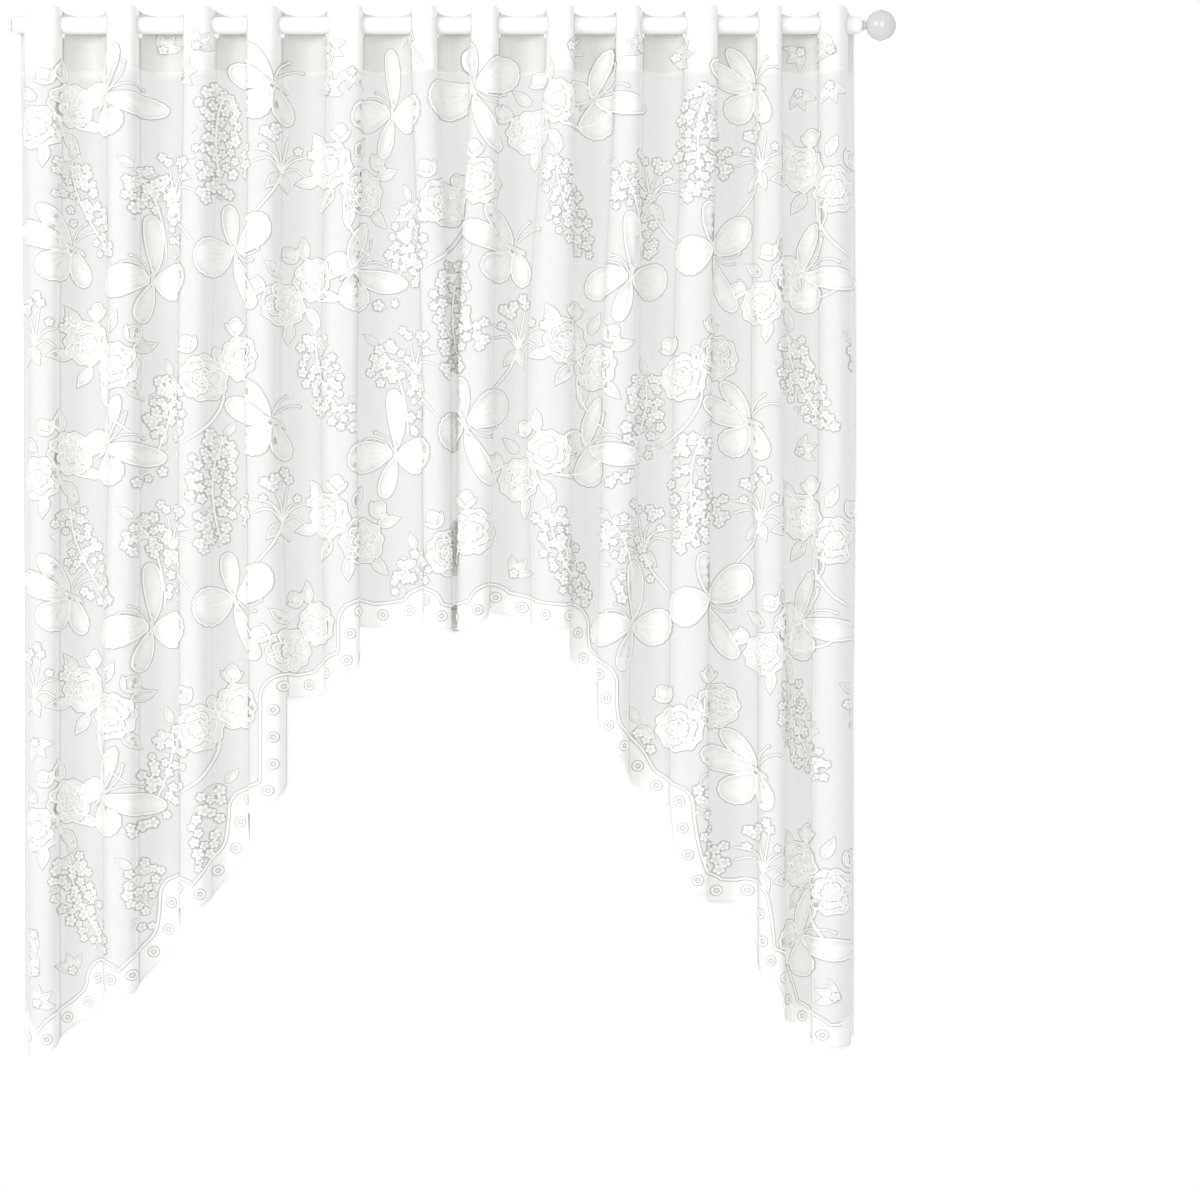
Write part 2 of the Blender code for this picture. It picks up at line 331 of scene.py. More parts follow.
def resample(path, spacing):
    """The same open line with points at even distances."""
    path = np.asarray(path, float)
    along = np.concatenate([[0], np.cumsum(np.hypot(*np.diff(path, axis=0).T))])
    marks = np.linspace(0, along[-1], max(int(round(along[-1] / spacing)), 2) + 1)
    return np.stack([np.interp(marks, along, path[:, k]) for k in (0, 1)], -1)


hem_line = resample(np.stack([drawn_fine, hem_edge(fine)], -1), 1.0 * MM)
hem_tree = KDTree(len(hem_line))
for index, (across, height) in enumerate(hem_line):
    hem_tree.insert((across, height, 0), index)
hem_tree.balance()


def hem_gap(across, height):
    """Distance to the hem's edge, negative below it."""
    gaps = np.array([hem_tree.find((a, h, 0))[2] for a, h in zip(across, height)])
    inside = height >= hem_edge(coordinate_at(across))
    return np.where(inside, gaps, -gaps)


flat_drop = HEADING_FRONT - hem_edge(fine)
print("cut width", round(CUT_WIDTH, 3), "m, drawn width", round(DRAWN_WIDTH, 3), "m")
print("longest drop", round(flat_drop.max(), 3), "m")

# %% [markdown]
# ## Yarn finishes
#
# Three effects are wanted by more than one finish, so each is a node group with its
# own inputs: the crossing threads of a weave, the slow unevenness of white yarn, and
# the tone of raised work, which paints light and shade: the ridges are painted white as
# highlights and the grooves painted greyer as shade. The groups give out only values;
# the shader itself stays in each material.

# %% Node helpers


class Graph:
    """A short way to write node trees."""

    def __init__(self, tree):
        self.tree = tree

    def node(self, kind, **settings):
        made = self.tree.nodes.new(kind)
        for name, value in settings.items():
            setattr(made, name, value)
        return made

    def feed(self, socket, value):
        if isinstance(value, bpy.types.NodeSocket):
            self.tree.links.new(value, socket)
        else:
            socket.default_value = value

    def math(self, operation, first, second=0.0, clamp=False):
        made = self.node("ShaderNodeMath", operation=operation, use_clamp=clamp)
        self.feed(made.inputs[0], first)
        self.feed(made.inputs[1], second)
        return made.outputs[0]

    def ramp(self, value, start, end, low=0.0, high=1.0, smooth=True):
        """Value from start to end, mapped to low to high."""
        made = self.node("ShaderNodeMapRange", clamp=True)
        made.interpolation_type = "SMOOTHSTEP" if smooth else "LINEAR"
        for name, given in (
            ("Value", value),
            ("From Min", start),
            ("From Max", end),
            ("To Min", low),
            ("To Max", high),
        ):
            self.feed(made.inputs[name], given)
        return made.outputs["Result"]

    def colours(self, share, low, high):
        made = self.node("ShaderNodeMix", data_type="RGBA")
        self.feed(made.inputs["Factor"], share)
        for name, given in (("A", low), ("B", high)):
            socket = next(s for s in made.inputs if s.name == name and s.type == "RGBA")
            self.feed(socket, given)
        return next(s for s in made.outputs if s.type == "RGBA")

    def noise(self, place, scale, detail=2.0, roughness=0.5):
        made = self.node("ShaderNodeTexNoise")
        self.feed(made.inputs["Vector"], place)
        self.feed(made.inputs["Scale"], scale)
        self.feed(made.inputs["Detail"], detail)
        self.feed(made.inputs["Roughness"], roughness)
        return made.outputs["Fac"]

    def stretched(self, place, scale):
        made = self.node("ShaderNodeMapping")
        self.feed(made.inputs["Vector"], place)
        made.inputs["Scale"].default_value = scale
        return made.outputs["Vector"]

    def bump(self, height, distance, strength=1.0):
        made = self.node("ShaderNodeBump")
        made.inputs["Strength"].default_value = strength
        made.inputs["Distance"].default_value = distance
        self.feed(made.inputs["Height"], height)
        return made.outputs["Normal"]

    def attribute(self, name):
        return self.node("ShaderNodeAttribute", attribute_name=name).outputs["Fac"]

    def group(self, tree, **values):
        made = self.node("ShaderNodeGroup", node_tree=tree)
        for name, value in values.items():
            self.feed(made.inputs[name.replace("_", " ")], value)
        return made.outputs


def new_group(name, inputs, outputs):
    """A node group with its sockets; returns the tree, its graph, and both ends."""
    tree = bpy.data.node_groups.new(name, "ShaderNodeTree")
    for label, kind, value in inputs:
        socket = tree.interface.new_socket(label, in_out="INPUT", socket_type=kind)
        if value is not None:
            socket.default_value = value
    for label, kind in outputs:
        tree.interface.new_socket(label, in_out="OUTPUT", socket_type=kind)
    graph = Graph(tree)
    return tree, graph, graph.node("NodeGroupInput"), graph.node("NodeGroupOutput")


FLOAT, VECTOR = "NodeSocketFloat", "NodeSocketVector"

# %% Threads that cross


def make_thread_group():
    """Two sets of threads at right angles, each a little uneven along its length."""
    tree, graph, given, out = new_group(
        "crossing threads",
        [("Place", VECTOR, None), ("Spacing", FLOAT, 0.0012), ("Slub", FLOAT, 0.3)],
        [("Cover", FLOAT), ("Height", FLOAT)],
    )
    place = given.outputs["Place"]
    split = graph.node("ShaderNodeSeparateXYZ")
    graph.feed(split.inputs[0], place)
    pace = graph.math("DIVIDE", math.pi, given.outputs["Spacing"])
    threads = []
    for axis, stretch in (("X", (900, 25, 1)), ("Y", (25, 900, 1))):
        wave = graph.math("SINE", graph.math("MULTIPLY", split.outputs[axis], pace))
        round_thread = graph.math("POWER", graph.math("ABSOLUTE", wave), 0.8)
        slub = graph.noise(graph.stretched(place, stretch), 1.0, 1.0)
        swing = graph.math("MULTIPLY", graph.math("SUBTRACT", slub, 0.5), given.outputs["Slub"])
        threads.append(graph.math("ADD", round_thread, swing, clamp=True))
    both = graph.math("MAXIMUM", *threads)
    graph.feed(out.inputs["Cover"], both)
    graph.feed(out.inputs["Height"], both)
    return tree


def make_mottle_group():
    """Slow unevenness of white yarn: 0.5 on average, in streaks along the warp."""
    tree, graph, given, out = new_group(
        "yarn mottle",
        [("Place", VECTOR, None), ("Size", FLOAT, 0.03)],
        [("Value", FLOAT)],
    )
    pace = graph.math("DIVIDE", 1.0, given.outputs["Size"])
    streaks = graph.noise(graph.stretched(given.outputs["Place"], (4.0, 0.5, 1.0)), pace, 3.0)
    clouds = graph.noise(given.outputs["Place"], pace, 2.0)
    total = graph.math("ADD", graph.math("MULTIPLY", streaks, 0.6), graph.math("MULTIPLY", clouds, 0.4))
    graph.feed(out.inputs["Value"], total)
    return tree


def make_relief_group():
    """Whiteness of raised work from its tone, which paints its light and shade, with fine satin lines over it."""
    tree, graph, given, out = new_group(
        "raised work",
        [("Place", VECTOR, None), ("Tone", FLOAT, 1.0), ("Line spacing", FLOAT, 0.0014)],
        [("Whiteness", FLOAT), ("Height", FLOAT)],
    )
    place = given.outputs["Place"]
    split = graph.node("ShaderNodeSeparateXYZ")
    graph.feed(split.inputs[0], place)
    slant = graph.math("ADD", split.outputs["X"], graph.math("MULTIPLY", split.outputs["Y"], 0.45))
    pace = graph.math("DIVIDE", 2 * math.pi, given.outputs["Line spacing"])
    wander = graph.math("MULTIPLY", graph.noise(place, 160.0), 3.0)
    lines = graph.math("SINE", graph.math("ADD", graph.math("MULTIPLY", slant, pace), wander))
    fluff = graph.noise(place, 900.0, 3.0, 0.6)
    height = graph.math("ADD", graph.math("MULTIPLY", lines, 0.25), fluff)
    graph.feed(out.inputs["Height"], height)
    dimmed = graph.math("MULTIPLY", graph.math("SUBTRACT", fluff, 0.5), 0.12)
    graph.feed(out.inputs["Whiteness"], graph.math("ADD", given.outputs["Tone"], dimmed, clamp=True))
    return tree


crossing_threads = make_thread_group()
yarn_mottle = make_mottle_group()
raised_work = make_relief_group()
print("node groups", [tree.name for tree in bpy.data.node_groups])

# %% [markdown]
# ## The sheer ground
#
# The ground is a thin net, so about half of what is behind it shows. Alpha stands for
# the share of each spot that yarn covers. It rises where the cloth is close: in the
# border and on the heading. The net's white yarn is painted grey as shade, and whiter
# where the cloth is close. On the crests and along the edges of the sharply turned folds,
# colour and alpha are raised as a painted highlight, and beside each sharp fold edge a
# grey line with more cover is painted as shadow.

# %% Cloth material
# The ground's grey is painted shade on the net's white yarn; SHADE_GREY is the painted shadow beside each sharp fold
# edge.
GROUND_SHADE_GREY = (0.60, 0.605, 0.575, 1.0)
YARN_WHITE = (0.95, 0.95, 0.935, 1.0)
SHADE_GREY = (0.42, 0.425, 0.40, 1.0)
GROUND_COVER = 0.45
BORDER_WIDTH = 0.027


def new_material(name, roughness):
    made = bpy.data.materials.new(name)
    made.use_nodes = True
    shader = made.node_tree.nodes["Principled BSDF"]
    shader.inputs["Roughness"].default_value = roughness
    return made, Graph(made.node_tree), shader


def make_ground_material():
    made, graph, shader = new_material("sheer lace ground", 0.85)
    shader.inputs["Sheen Weight"].default_value = 0.25
    shader.inputs["Sheen Roughness"].default_value = 0.4
    place = graph.node("ShaderNodeUVMap", uv_map="flat cloth").outputs["UV"]
    weave = graph.group(crossing_threads, Place=place, Spacing=0.0011, Slub=0.35)
    mottle = graph.group(yarn_mottle, Place=place, Size=0.03)["Value"]

    border = graph.ramp(graph.attribute("hem gap"), BORDER_WIDTH - 0.0006, BORDER_WIDTH, 1, 0)
    # The crest and fold-edge masks paint highlights: crests and the edges of sharply turned folds are made whiter
    # and more covered.
    crest_light = graph.attribute("crest")
    fold_highlight = graph.attribute("fold highlight")
    doubled = graph.attribute("doubled")

    # The border and the doubled heading really hold more yarn; the crest and fold-edge terms add painted highlight
    # to the same whiteness and cover.
    dense_and_highlight = graph.math("MAXIMUM", graph.math("MULTIPLY", border, 0.80), fold_highlight)
    dense_and_highlight = graph.math("MAXIMUM", dense_and_highlight, graph.math("MULTIPLY", crest_light, 0.26))
    dense_and_highlight = graph.math("ADD", dense_and_highlight, graph.math("MULTIPLY", doubled, 0.55), clamp=True)
    uneven = graph.math("MULTIPLY", graph.math("SUBTRACT", mottle, 0.5), 0.25)
    whiteness = graph.math("ADD", dense_and_highlight, uneven, clamp=True)
    lit = graph.colours(whiteness, GROUND_SHADE_GREY, YARN_WHITE)
    # The fold shade mask paints a grey shadow line beside each sharp fold edge, and adds cover there.
    shade = graph.attribute("fold shade")
    graph.feed(shader.inputs["Base Color"], graph.colours(shade, lit, SHADE_GREY))

    gaps = graph.math("MULTIPLY", graph.math("SUBTRACT", weave["Cover"], 0.62), 0.25)
    thin = graph.math("ADD", GROUND_COVER, gaps)
    closed = graph.math("MAXIMUM", graph.math("MULTIPLY", dense_and_highlight, 0.6), graph.math("MULTIPLY", shade, 0.3))
    cover = graph.math("ADD", thin, closed, clamp=True)
    graph.feed(shader.inputs["Alpha"], cover)
    graph.feed(shader.inputs["Normal"], graph.bump(weave["Height"], 0.0002, 0.6))
    return made


def make_relief_material(name, line_spacing, roughness=0.75):
    """Dense white yarn: motifs, cords and rings differ in the scale of their lines."""
    made, graph, shader = new_material(name, roughness)
    shader.inputs["Sheen Weight"].default_value = 0.3
    shader.inputs["Sheen Roughness"].default_value = 0.35
    place = graph.node("ShaderNodeUVMap", uv_map="flat cloth").outputs["UV"]
    mottle = graph.group(yarn_mottle, Place=place, Size=0.012)["Value"]
    tone = graph.math(
        "ADD", graph.attribute("tone"), graph.math("MULTIPLY", graph.math("SUBTRACT", mottle, 0.5), 0.12)
    )
    work = graph.group(raised_work, Place=place, Tone=tone, Line_spacing=line_spacing)
    # Low whiteness paints shade on flanges, cord sides and grooves; high whiteness paints highlights on the ridges.
    colour = graph.colours(work["Whiteness"], (0.46, 0.465, 0.44, 1.0), (0.96, 0.96, 0.945, 1.0))
    graph.feed(shader.inputs["Base Color"], colour)
    graph.feed(shader.inputs["Normal"], graph.bump(work["Height"], 0.0003, 0.5))
    return made


ground_finish = make_ground_material()
motif_finish = make_relief_material("satin motif yarn", 0.0014)
petal_finish = make_relief_material("rose petal yarn", 0.0011)
cord_finish = make_relief_material("corded edge yarn", 0.0008)
print("cloth finishes", [m.name for m in (ground_finish, motif_finish, petal_finish, cord_finish)])

# %% [markdown]
# ## The sheet
#
# The cloth is one grid. Its columns run down the cloth, forty to a fold, and its rows
# start behind the heading: the top of a rod-pocket curtain is turned over to the back
# and stitched, so the sheet goes up behind, rolls over the top edge and comes down the
# front to the hem. Where it passes the rod it is cut open. The faces inside the slot
# are left out, and the rim's points are moved onto the slot's circle.

# %% Build the sheet
COLUMNS = len(FOLDS) * 48
HEADING_DEPTH = 0.051
LAYER_GAP = 0.0009
HEADING_ROWS = 19
FACE_ROWS = 92
ROLL_ANGLES = (0.25, 0.5, 0.75)
SLOT_RADIUS = ROD_RADIUS + 0.0025
SLOT_DROP = 0.0019


def cloth_mesh(name, points, faces, material, tone=None, flat=None, **attributes):
    """A mesh object with flat-cloth coordinates as its UV map and smooth shading."""
    mesh = bpy.data.meshes.new(name)
    mesh.from_pydata(np.asarray(points).tolist(), [], faces)
    mesh.validate()
    if tone is not None:
        attributes["tone"] = tone
    for label, values in attributes.items():
        layer = mesh.attributes.new(label, "FLOAT", "POINT")
        layer.data.foreach_set("value", np.asarray(values, np.float32))
    corners = np.empty(len(mesh.loops), np.int32)
    mesh.loops.foreach_get("vertex_index", corners)
    places = mesh.uv_layers.new(name="flat cloth")
    places.data.foreach_set("uv", np.asarray(flat)[corners, :2].astype(np.float32).ravel())
    mesh.shade_smooth()
    mesh.materials.append(material)
    made = bpy.data.objects.new(name, mesh)
    bpy.context.scene.collection.objects.link(made)
    return made


def fold_edge(coordinate, place, width):
    """1 on a line beside the edges of the sharply turned folds, 0 elsewhere."""
    number = np.clip(np.round(coordinate), 1, len(FOLDS)).astype(int)
    offset = coordinate - number
    side = np.where(offset < 0, column("left_side")[number - 1], column("right_side")[number - 1])
    sharp = np.clip(0.35 + (side - 0.4) / 0.9, 0.0, 1.0)
    away = (np.abs(offset) - place) / width
    return sharp * np.exp(-away * away)


def build_sheet():
    coordinate = np.linspace(FIRST, LAST, COLUMNS + 1)
    top, hem = top_edge(coordinate), hem_edge(coordinate)
    rows = []  # (heights, lifts, doubled) for each row, from the turned end to the hem
    for share in np.linspace(0, 1, HEADING_ROWS):
        rows.append((mix(-HEADING_DEPTH, top, share), -LAYER_GAP, 1.0))
    for turn in ROLL_ANGLES:
        rise = LAYER_GAP / 2 * math.sin(turn * math.pi)
        lift = -LAYER_GAP / 2 * (1 + math.cos(turn * math.pi))
        rows.append((top + rise, lift, 1.0))
    for share in np.linspace(1, 0, HEADING_ROWS):
        rows.append((mix(-HEADING_DEPTH, top, share), 0.0, 1.0))
    for share in np.linspace(0, 1, FACE_ROWS + 1)[1:]:
        rows.append((mix(-HEADING_DEPTH, hem, share), 0.0, 0.0))

    heights = np.concatenate([row[0] for row in rows])
    lifts = np.repeat([row[1] for row in rows], COLUMNS + 1)
    doubled = np.repeat([row[2] for row in rows], COLUMNS + 1)
    coordinates = np.tile(coordinate, len(rows))
    flat = np.stack([across_at(coordinates), heights, lifts], -1)
    normals = face_normal(coordinates, heights)
    points = surface(coordinates, heights) + normals * lifts[:, None]

    # The slot: a round opening along the rod, a little below its centre.
    centre = np.array([0.0, -SLOT_DROP])
    away = points[:, 1:] - centre
    distance = np.linalg.norm(away, axis=1)
    inside = distance < SLOT_RADIUS
    width = COLUMNS + 1
    faces, rim = [], set()
    for row in range(len(rows) - 1):
        for col in range(COLUMNS):
            low = row * width + col
            corners = (low, low + 1, low + width + 1, low + width)
            cut = [inside[c] for c in corners]
            if all(cut):
                continue
            rim.update(c for c, is_in in zip(corners, cut) if is_in)
            faces.append(corners)
    rim = np.array(sorted(rim))
    points[rim, 1:] = centre + away[rim] / distance[rim, None] * SLOT_RADIUS

    number = np.clip(np.round(coordinates), 1, len(FOLDS))
    crest_share = smooth_share(np.abs(coordinates - number), 0.27, 0.20)
    true_flat = np.stack([np.interp(coordinates, fine, true_fine), heights], -1)
    gaps = hem_gap(flat[:, 0], flat[:, 1])
    used = np.unique(np.array(faces))
    renumber = np.full(len(points), -1)
    renumber[used] = np.arange(len(used))
    faces = [tuple(int(renumber[c]) for c in face) for face in faces]
    return cloth_mesh(
        "lace_cloth",
        points[used],
        faces,
        ground_finish,
        flat=true_flat[used],
        **{
            "hem gap": gaps[used],
            # The crest and fold-edge masks carry painted highlights, the fold shade mask a painted shadow line.
            "crest": crest_share[used],
            "fold highlight": fold_edge(coordinates, 0.205, 0.024)[used],
            "fold shade": fold_edge(coordinates, 0.272, 0.016)[used],
            "doubled": doubled[used],
        },
    )


lace_cloth = build_sheet()
print("sheet", len(lace_cloth.data.polygons), "faces")

# %% [markdown]
# ## Raised work in flat cloth
#
# Motifs, cords and rings are thin shells that sit on the sheet and stand about a
# millimetre proud of it. They could be a displacement of the sheet, but that would
# need millions of faces. Drawing each as its own small shape keeps edges crisp at
# little cost. A `Relief` gathers such shapes in drawn cloth (across, height, lift), and
# hangs them all at the end. `plate` fills an outline with a corded rim and a lower
# field, `sweep` runs a section along a line, and `stamp` repeats a finished shape.
#
# Round every shape runs a flat grey flange, a painted shadow: it stands for the shade
# round each motif, and reads as a fine grey outline.

# %% Outlines


def through(points, closed):
    """A smooth curve through a few points, finely divided."""
    points = np.asarray(points, float)
    if closed:
        sets = [np.roll(points, shift, 0) for shift in (1, 0, -1, -2)]
    else:
        padded = np.vstack([2 * points[0] - points[1], points, 2 * points[-1] - points[-2]])
        sets = [padded[k : len(padded) - 3 + k] for k in range(4)]
    share = np.linspace(0, 1, 12, endpoint=False)[:, None]
    spans = []
    for p0, p1, p2, p3 in zip(*sets):
        first = 2 * p1 + (p2 - p0) * share
        second = (2 * p0 - 5 * p1 + 4 * p2 - p3) * share**2
        third = (3 * p1 - p0 - 3 * p2 + p3) * share**3
        spans.append((first + second + third) / 2)
    ends = points[:1] if closed else points[-1:]
    return np.vstack([*spans, ends])


def smooth_loop(points, spacing):
    """A closed smooth curve with points at even distances, anticlockwise."""
    loop = resample(through(points, True), spacing)[:-1]
    x, y = loop.T
    area = (x * np.roll(y, -1) - y * np.roll(x, -1)).sum()
    return loop if area > 0 else loop[::-1]


def smooth_line(points, spacing):
    """An open smooth curve with points at even distances."""
    return resample(through(points, False), spacing)


def side_normals(path, closed):
    """Unit normals on the left of the direction of travel."""
    if closed:
        ahead = np.roll(path, -1, 0) - np.roll(path, 1, 0)
    else:
        ahead = np.gradient(path, axis=0)
    ahead = ahead / np.maximum(np.linalg.norm(ahead, axis=1, keepdims=True), 1e-12)
    return np.stack([-ahead[:, 1], ahead[:, 0]], -1)


def room_inside(outline, inward):
    """How far each point can move inward before it meets another side."""
    apart = outline[None] - outline[:, None]
    toward = (apart * inward[:, None]).sum(-1)
    square = (apart**2).sum(-1)
    return np.where(toward > 1e-9, square / np.maximum(2 * toward, 1e-12), 1.0).min(1)


def within(outline, points):
    """Which points lie inside a closed outline."""
    x, y = points[:, 0][:, None], points[:, 1][:, None]
    x0, y0 = outline.T
    x1, y1 = np.roll(outline, -1, 0).T
    straddles = (y0 > y) != (y1 > y)
    with np.errstate(divide="ignore", invalid="ignore"):
        crossing = x0 + (y - y0) * (x1 - x0) / (y1 - y0)
    return (straddles & (x < crossing)).sum(1) % 2 == 1


def filling(outline, spacing):
    """Inner points on a triangular lattice, and triangles over them and the outline."""
    low, high = outline.min(0), outline.max(0)
    lattice = [
        (x + (k % 2) * spacing / 2, y)
        for k, y in enumerate(np.arange(low[1], high[1], spacing * 0.87))
        for x in np.arange(low[0], high[0], spacing)
    ]
    lattice = np.array(lattice).reshape(-1, 2)
    near = np.linalg.norm(lattice[:, None] - outline[None], axis=2).min(1)
    inner = lattice[within(outline, lattice) & (near > spacing * 0.55)]
    verts = [Vector(p) for p in np.vstack([outline, inner])]
    result = delaunay_2d_cdt(verts, [], [list(range(len(outline)))], 1, 1e-9)
    crossed = len(result[0]) != len(verts)
    return inner, None if crossed else [tuple(face) for face in result[2]]


# %% The relief builder
FIELD_LIFT = 0.55 * MM
RIDGE_LIFT = 1.00 * MM
FOOT_LIFT = 0.22 * MM
FLANGE = 0.75 * MM
GROOVE_INSET = 1.15
# Tones paint light and shade on the relief: the flange's is a painted shadow, edges and grooves are painted shade,
# the ridge a painted highlight, and the field a little shaded.
SHADE_TONE, EDGE_TONE, RIDGE_TONE, GROOVE_TONE, FIELD_TONE = 0.0, 0.35, 1.0, 0.62, 0.80


def band_faces(rings, count, closed=True):
    """Quads between rings of equal length, numbered ring by ring."""
    faces = []
    for ring in range(rings - 1):
        for k in range(count if closed else count - 1):
            after = (k + 1) % count
            low, high = ring * count, (ring + 1) * count
            faces.append((low + k, low + after, high + after, high + k))
    return faces


class Relief:
    """Drawn shapes that become one hung mesh."""

    def __init__(self):
        self.points, self.tones, self.faces, self.count = [], [], [], 0

    def add(self, points, tones, faces):
        base = self.count
        self.points.append(np.asarray(points, float))
        self.tones.append(np.broadcast_to(np.asarray(tones, float), len(points)))
        self.faces.extend(tuple(base + c for c in face) for face in faces)
        self.count += len(points)

    def plate(self, outline, rim, rise=0.0, spacing=6 * MM, flange=FLANGE, field=FIELD_TONE):
        """A thin shell: a grey flange painted as shadow, a corded rim painted white as highlight, a groove painted
        grey as shade inside it, and a lower field painted a little grey.
        """
        inward = side_normals(outline, True)
        rim = np.minimum(rim, room_inside(outline, inward) * 0.65)[:, None]
        inner, triangles = filling(outline + inward * rim * GROOVE_INSET, spacing)
        while triangles is None:  # a tight corner: draw the rim narrower
            rim = rim * 0.7
            inner, triangles = filling(outline + inward * rim * GROOVE_INSET, spacing)
        rings, tones = [], []
        for inset, lift, tone in (
            (-flange, FOOT_LIFT, SHADE_TONE),
            (0.0 * rim, FOOT_LIFT, SHADE_TONE),
            (0.22 * rim, RIDGE_LIFT * 0.8, 0.88),
            (0.50 * rim, RIDGE_LIFT, RIDGE_TONE),
            (0.86 * rim, RIDGE_LIFT * 0.92, RIDGE_TONE),
            (GROOVE_INSET * rim, FIELD_LIFT * 0.85, GROOVE_TONE),
        ):
            ring = outline + inward * inset
            rings.append(np.column_stack([ring, np.full(len(ring), rise + lift)]))
            tones.append(np.full(len(ring), tone))
        faces = band_faces(len(rings), len(outline))
        base = (len(rings) - 1) * len(outline)
        faces += [tuple(base + c for c in t) for t in triangles]
        rings.append(np.column_stack([inner, np.full(len(inner), rise + FIELD_LIFT)]))
        tones.append(np.full(len(inner), field))
        self.add(np.vstack(rings), np.concatenate(tones), faces)

    def sweep(self, path, width, lift=RIDGE_LIFT, closed=False, taper=False, rise=0.0, tone=1.0, flange=0.0):
        """A low rounded cord along a drawn line, its sides painted grey as shade, and with a flange a grey band
        beside it painted as shadow.
        """
        section = [(-0.5, 0.0, EDGE_TONE), (-0.27, 0.85, tone), (0.0, 1.0, tone)]
        section += [(0.27, 0.85, tone), (0.5, 0.0, EDGE_TONE)]
        if flange:
            beside = 0.5 + flange / width
            section = [(-beside, 0.0, SHADE_TONE), *section, (beside, 0.0, SHADE_TONE)]
        path = np.asarray(path, float)
        count = len(path)
        normals = side_normals(path, closed)
        scale = np.ones(count)
        if taper:
            along = np.linspace(0, 1, count)
            scale = 0.35 + 0.65 * np.minimum(1, 4 * np.minimum(along + 0.05, 1.05 - along))
        rings = []
        for side, high, _ in section:
            place = path - normals * (side * width * scale)[:, None]
            rings.append(np.column_stack([place, rise + FOOT_LIFT + high * lift * scale]))
        tones = np.repeat([tone for _, _, tone in section], count)
        self.add(np.vstack(rings), tones, band_faces(len(section), count, closed))

    def stamp(self, shape, at, turn=0.0, size=1.0, flip=False, rise=0.0):
        """A copy of another relief: turned by degrees, scaled and moved."""
        points, tones, faces = shape.merged()
        points = points.copy()
        points[:, :2] = placed(points[:, :2], at, turn, size, flip)
        points[:, 2] += rise
        if flip:
            faces = [tuple(reversed(face)) for face in faces]
        self.add(points, tones, faces)

    def merged(self):
        return np.vstack(self.points), np.concatenate(self.tones), self.faces

    def piece(self, name, material):
        """Hang the whole relief as one object."""
        drawn, tones, faces = self.merged()
        made = cloth_mesh(name, hang(drawn), faces, material, tone=tones, flat=drawn)
        print(name, sum(len(face) - 2 for face in faces), "triangles")
        return made


def placed(points, at, turn=0.0, size=1.0, flip=False):
    """Points of a shape, moved to their place in the cloth."""
    points = np.asarray(points, float) * size
    if flip:
        points = points * (-1, 1)
    c, s = math.cos(math.radians(turn)), math.sin(math.radians(turn))
    return points @ np.array([[c, s], [-s, c]]) + np.asarray(at)


# %% [markdown]
# ## Hem, border and edges
#
# The knitted border is a close band that follows the scallops. A cord outlines its
# inner side, an overlocked thread its outer side, and small woven rings sit along its
# middle. Both cords come from the hem's own line. The inner one is the hem moved in
# along its normals; where it turns round a notch, a fan of normals draws the arc, and
# points that come too close to another part of the hem are dropped.

# %% Lines that follow the hem
RING_PITCH = 0.031
RING_RADIUS = 4.3 * MM


def hem_inset(distance):
    """The hem's line moved into the cloth by a distance."""
    ahead = np.diff(hem_line, axis=0)
    ahead /= np.linalg.norm(ahead, axis=1, keepdims=True)
    normals = np.stack([-ahead[:, 1], ahead[:, 0]], -1)
    kept = []
    for spot, before, after in zip(hem_line[1:-1], normals[:-1], normals[1:]):
        bend = math.acos(np.clip(before @ after, -1, 1))
        for share in np.linspace(0, 1, 1 + int(bend / 0.15), endpoint=False):
            normal = mix(before, after, share)
            place = spot + normal / np.linalg.norm(normal) * distance
            if hem_tree.find((*place, 0))[2] > distance * 0.985:
                kept.append(place)
    kept = np.array(kept)
    kept = kept[(kept[:, 0] > 0) & (kept[:, 0] < DRAWN_WIDTH)]
    return resample(kept, 2.5 * MM)


def ring_shape():
    """A small woven ring with a sunk centre."""
    ring = Relief()
    angles = np.linspace(0, 2 * math.pi, 20, endpoint=False)
    circle = np.stack([np.cos(angles), np.sin(angles)], -1)
    ring.sweep(circle * RING_RADIUS, 2.6 * MM, 1.1 * MM, closed=True, flange=0.9 * MM)
    ring.plate(circle * RING_RADIUS * 0.42, 0.5 * MM, -0.45 * MM, flange=0.0)
    return ring


edging = Relief()
edging.sweep(resample(hem_line, 2.5 * MM), 2.6 * MM, 0.9 * MM)
edging.sweep(hem_inset(BORDER_WIDTH), 2.8 * MM, 1.1 * MM, flange=0.9 * MM)
for side in (0.9 * MM, DRAWN_WIDTH - 0.9 * MM):
    end = float(hem_edge(coordinate_at(side)))
    line = np.stack([np.full(240, side), np.linspace(HEADING_BACK - 2 * MM, end, 240)], -1)
    edging.sweep(line, 2.4 * MM, 0.8 * MM)
edge_cords = edging.piece("edge_cords", cord_finish)

rings = Relief()
one_ring = ring_shape()
ring_line = hem_inset(BORDER_WIDTH * 0.5)
for place in resample(ring_line, RING_PITCH)[:-1]:
    if 12 * MM < place[0] < DRAWN_WIDTH - 12 * MM:
        rings.stamp(one_ring, place)
border_rings = rings.piece("border_rings", motif_finish)

# %% [markdown]
# ## Heading stitches and slots
#
# The turned heading is held by one row of lockstitch, and every slot is whipped round
# with thread, as a buttonhole is. The slots lie where the rod's clearance circle cuts
# the folds, so their outlines are found by walking round that circle and searching
# each fold's side for the place where the cloth meets it.

# %% Stitch row and slot edges
STITCH = 3.2 * MM
STITCH_PITCH = 4.4 * MM
SLOT_POINTS = 30

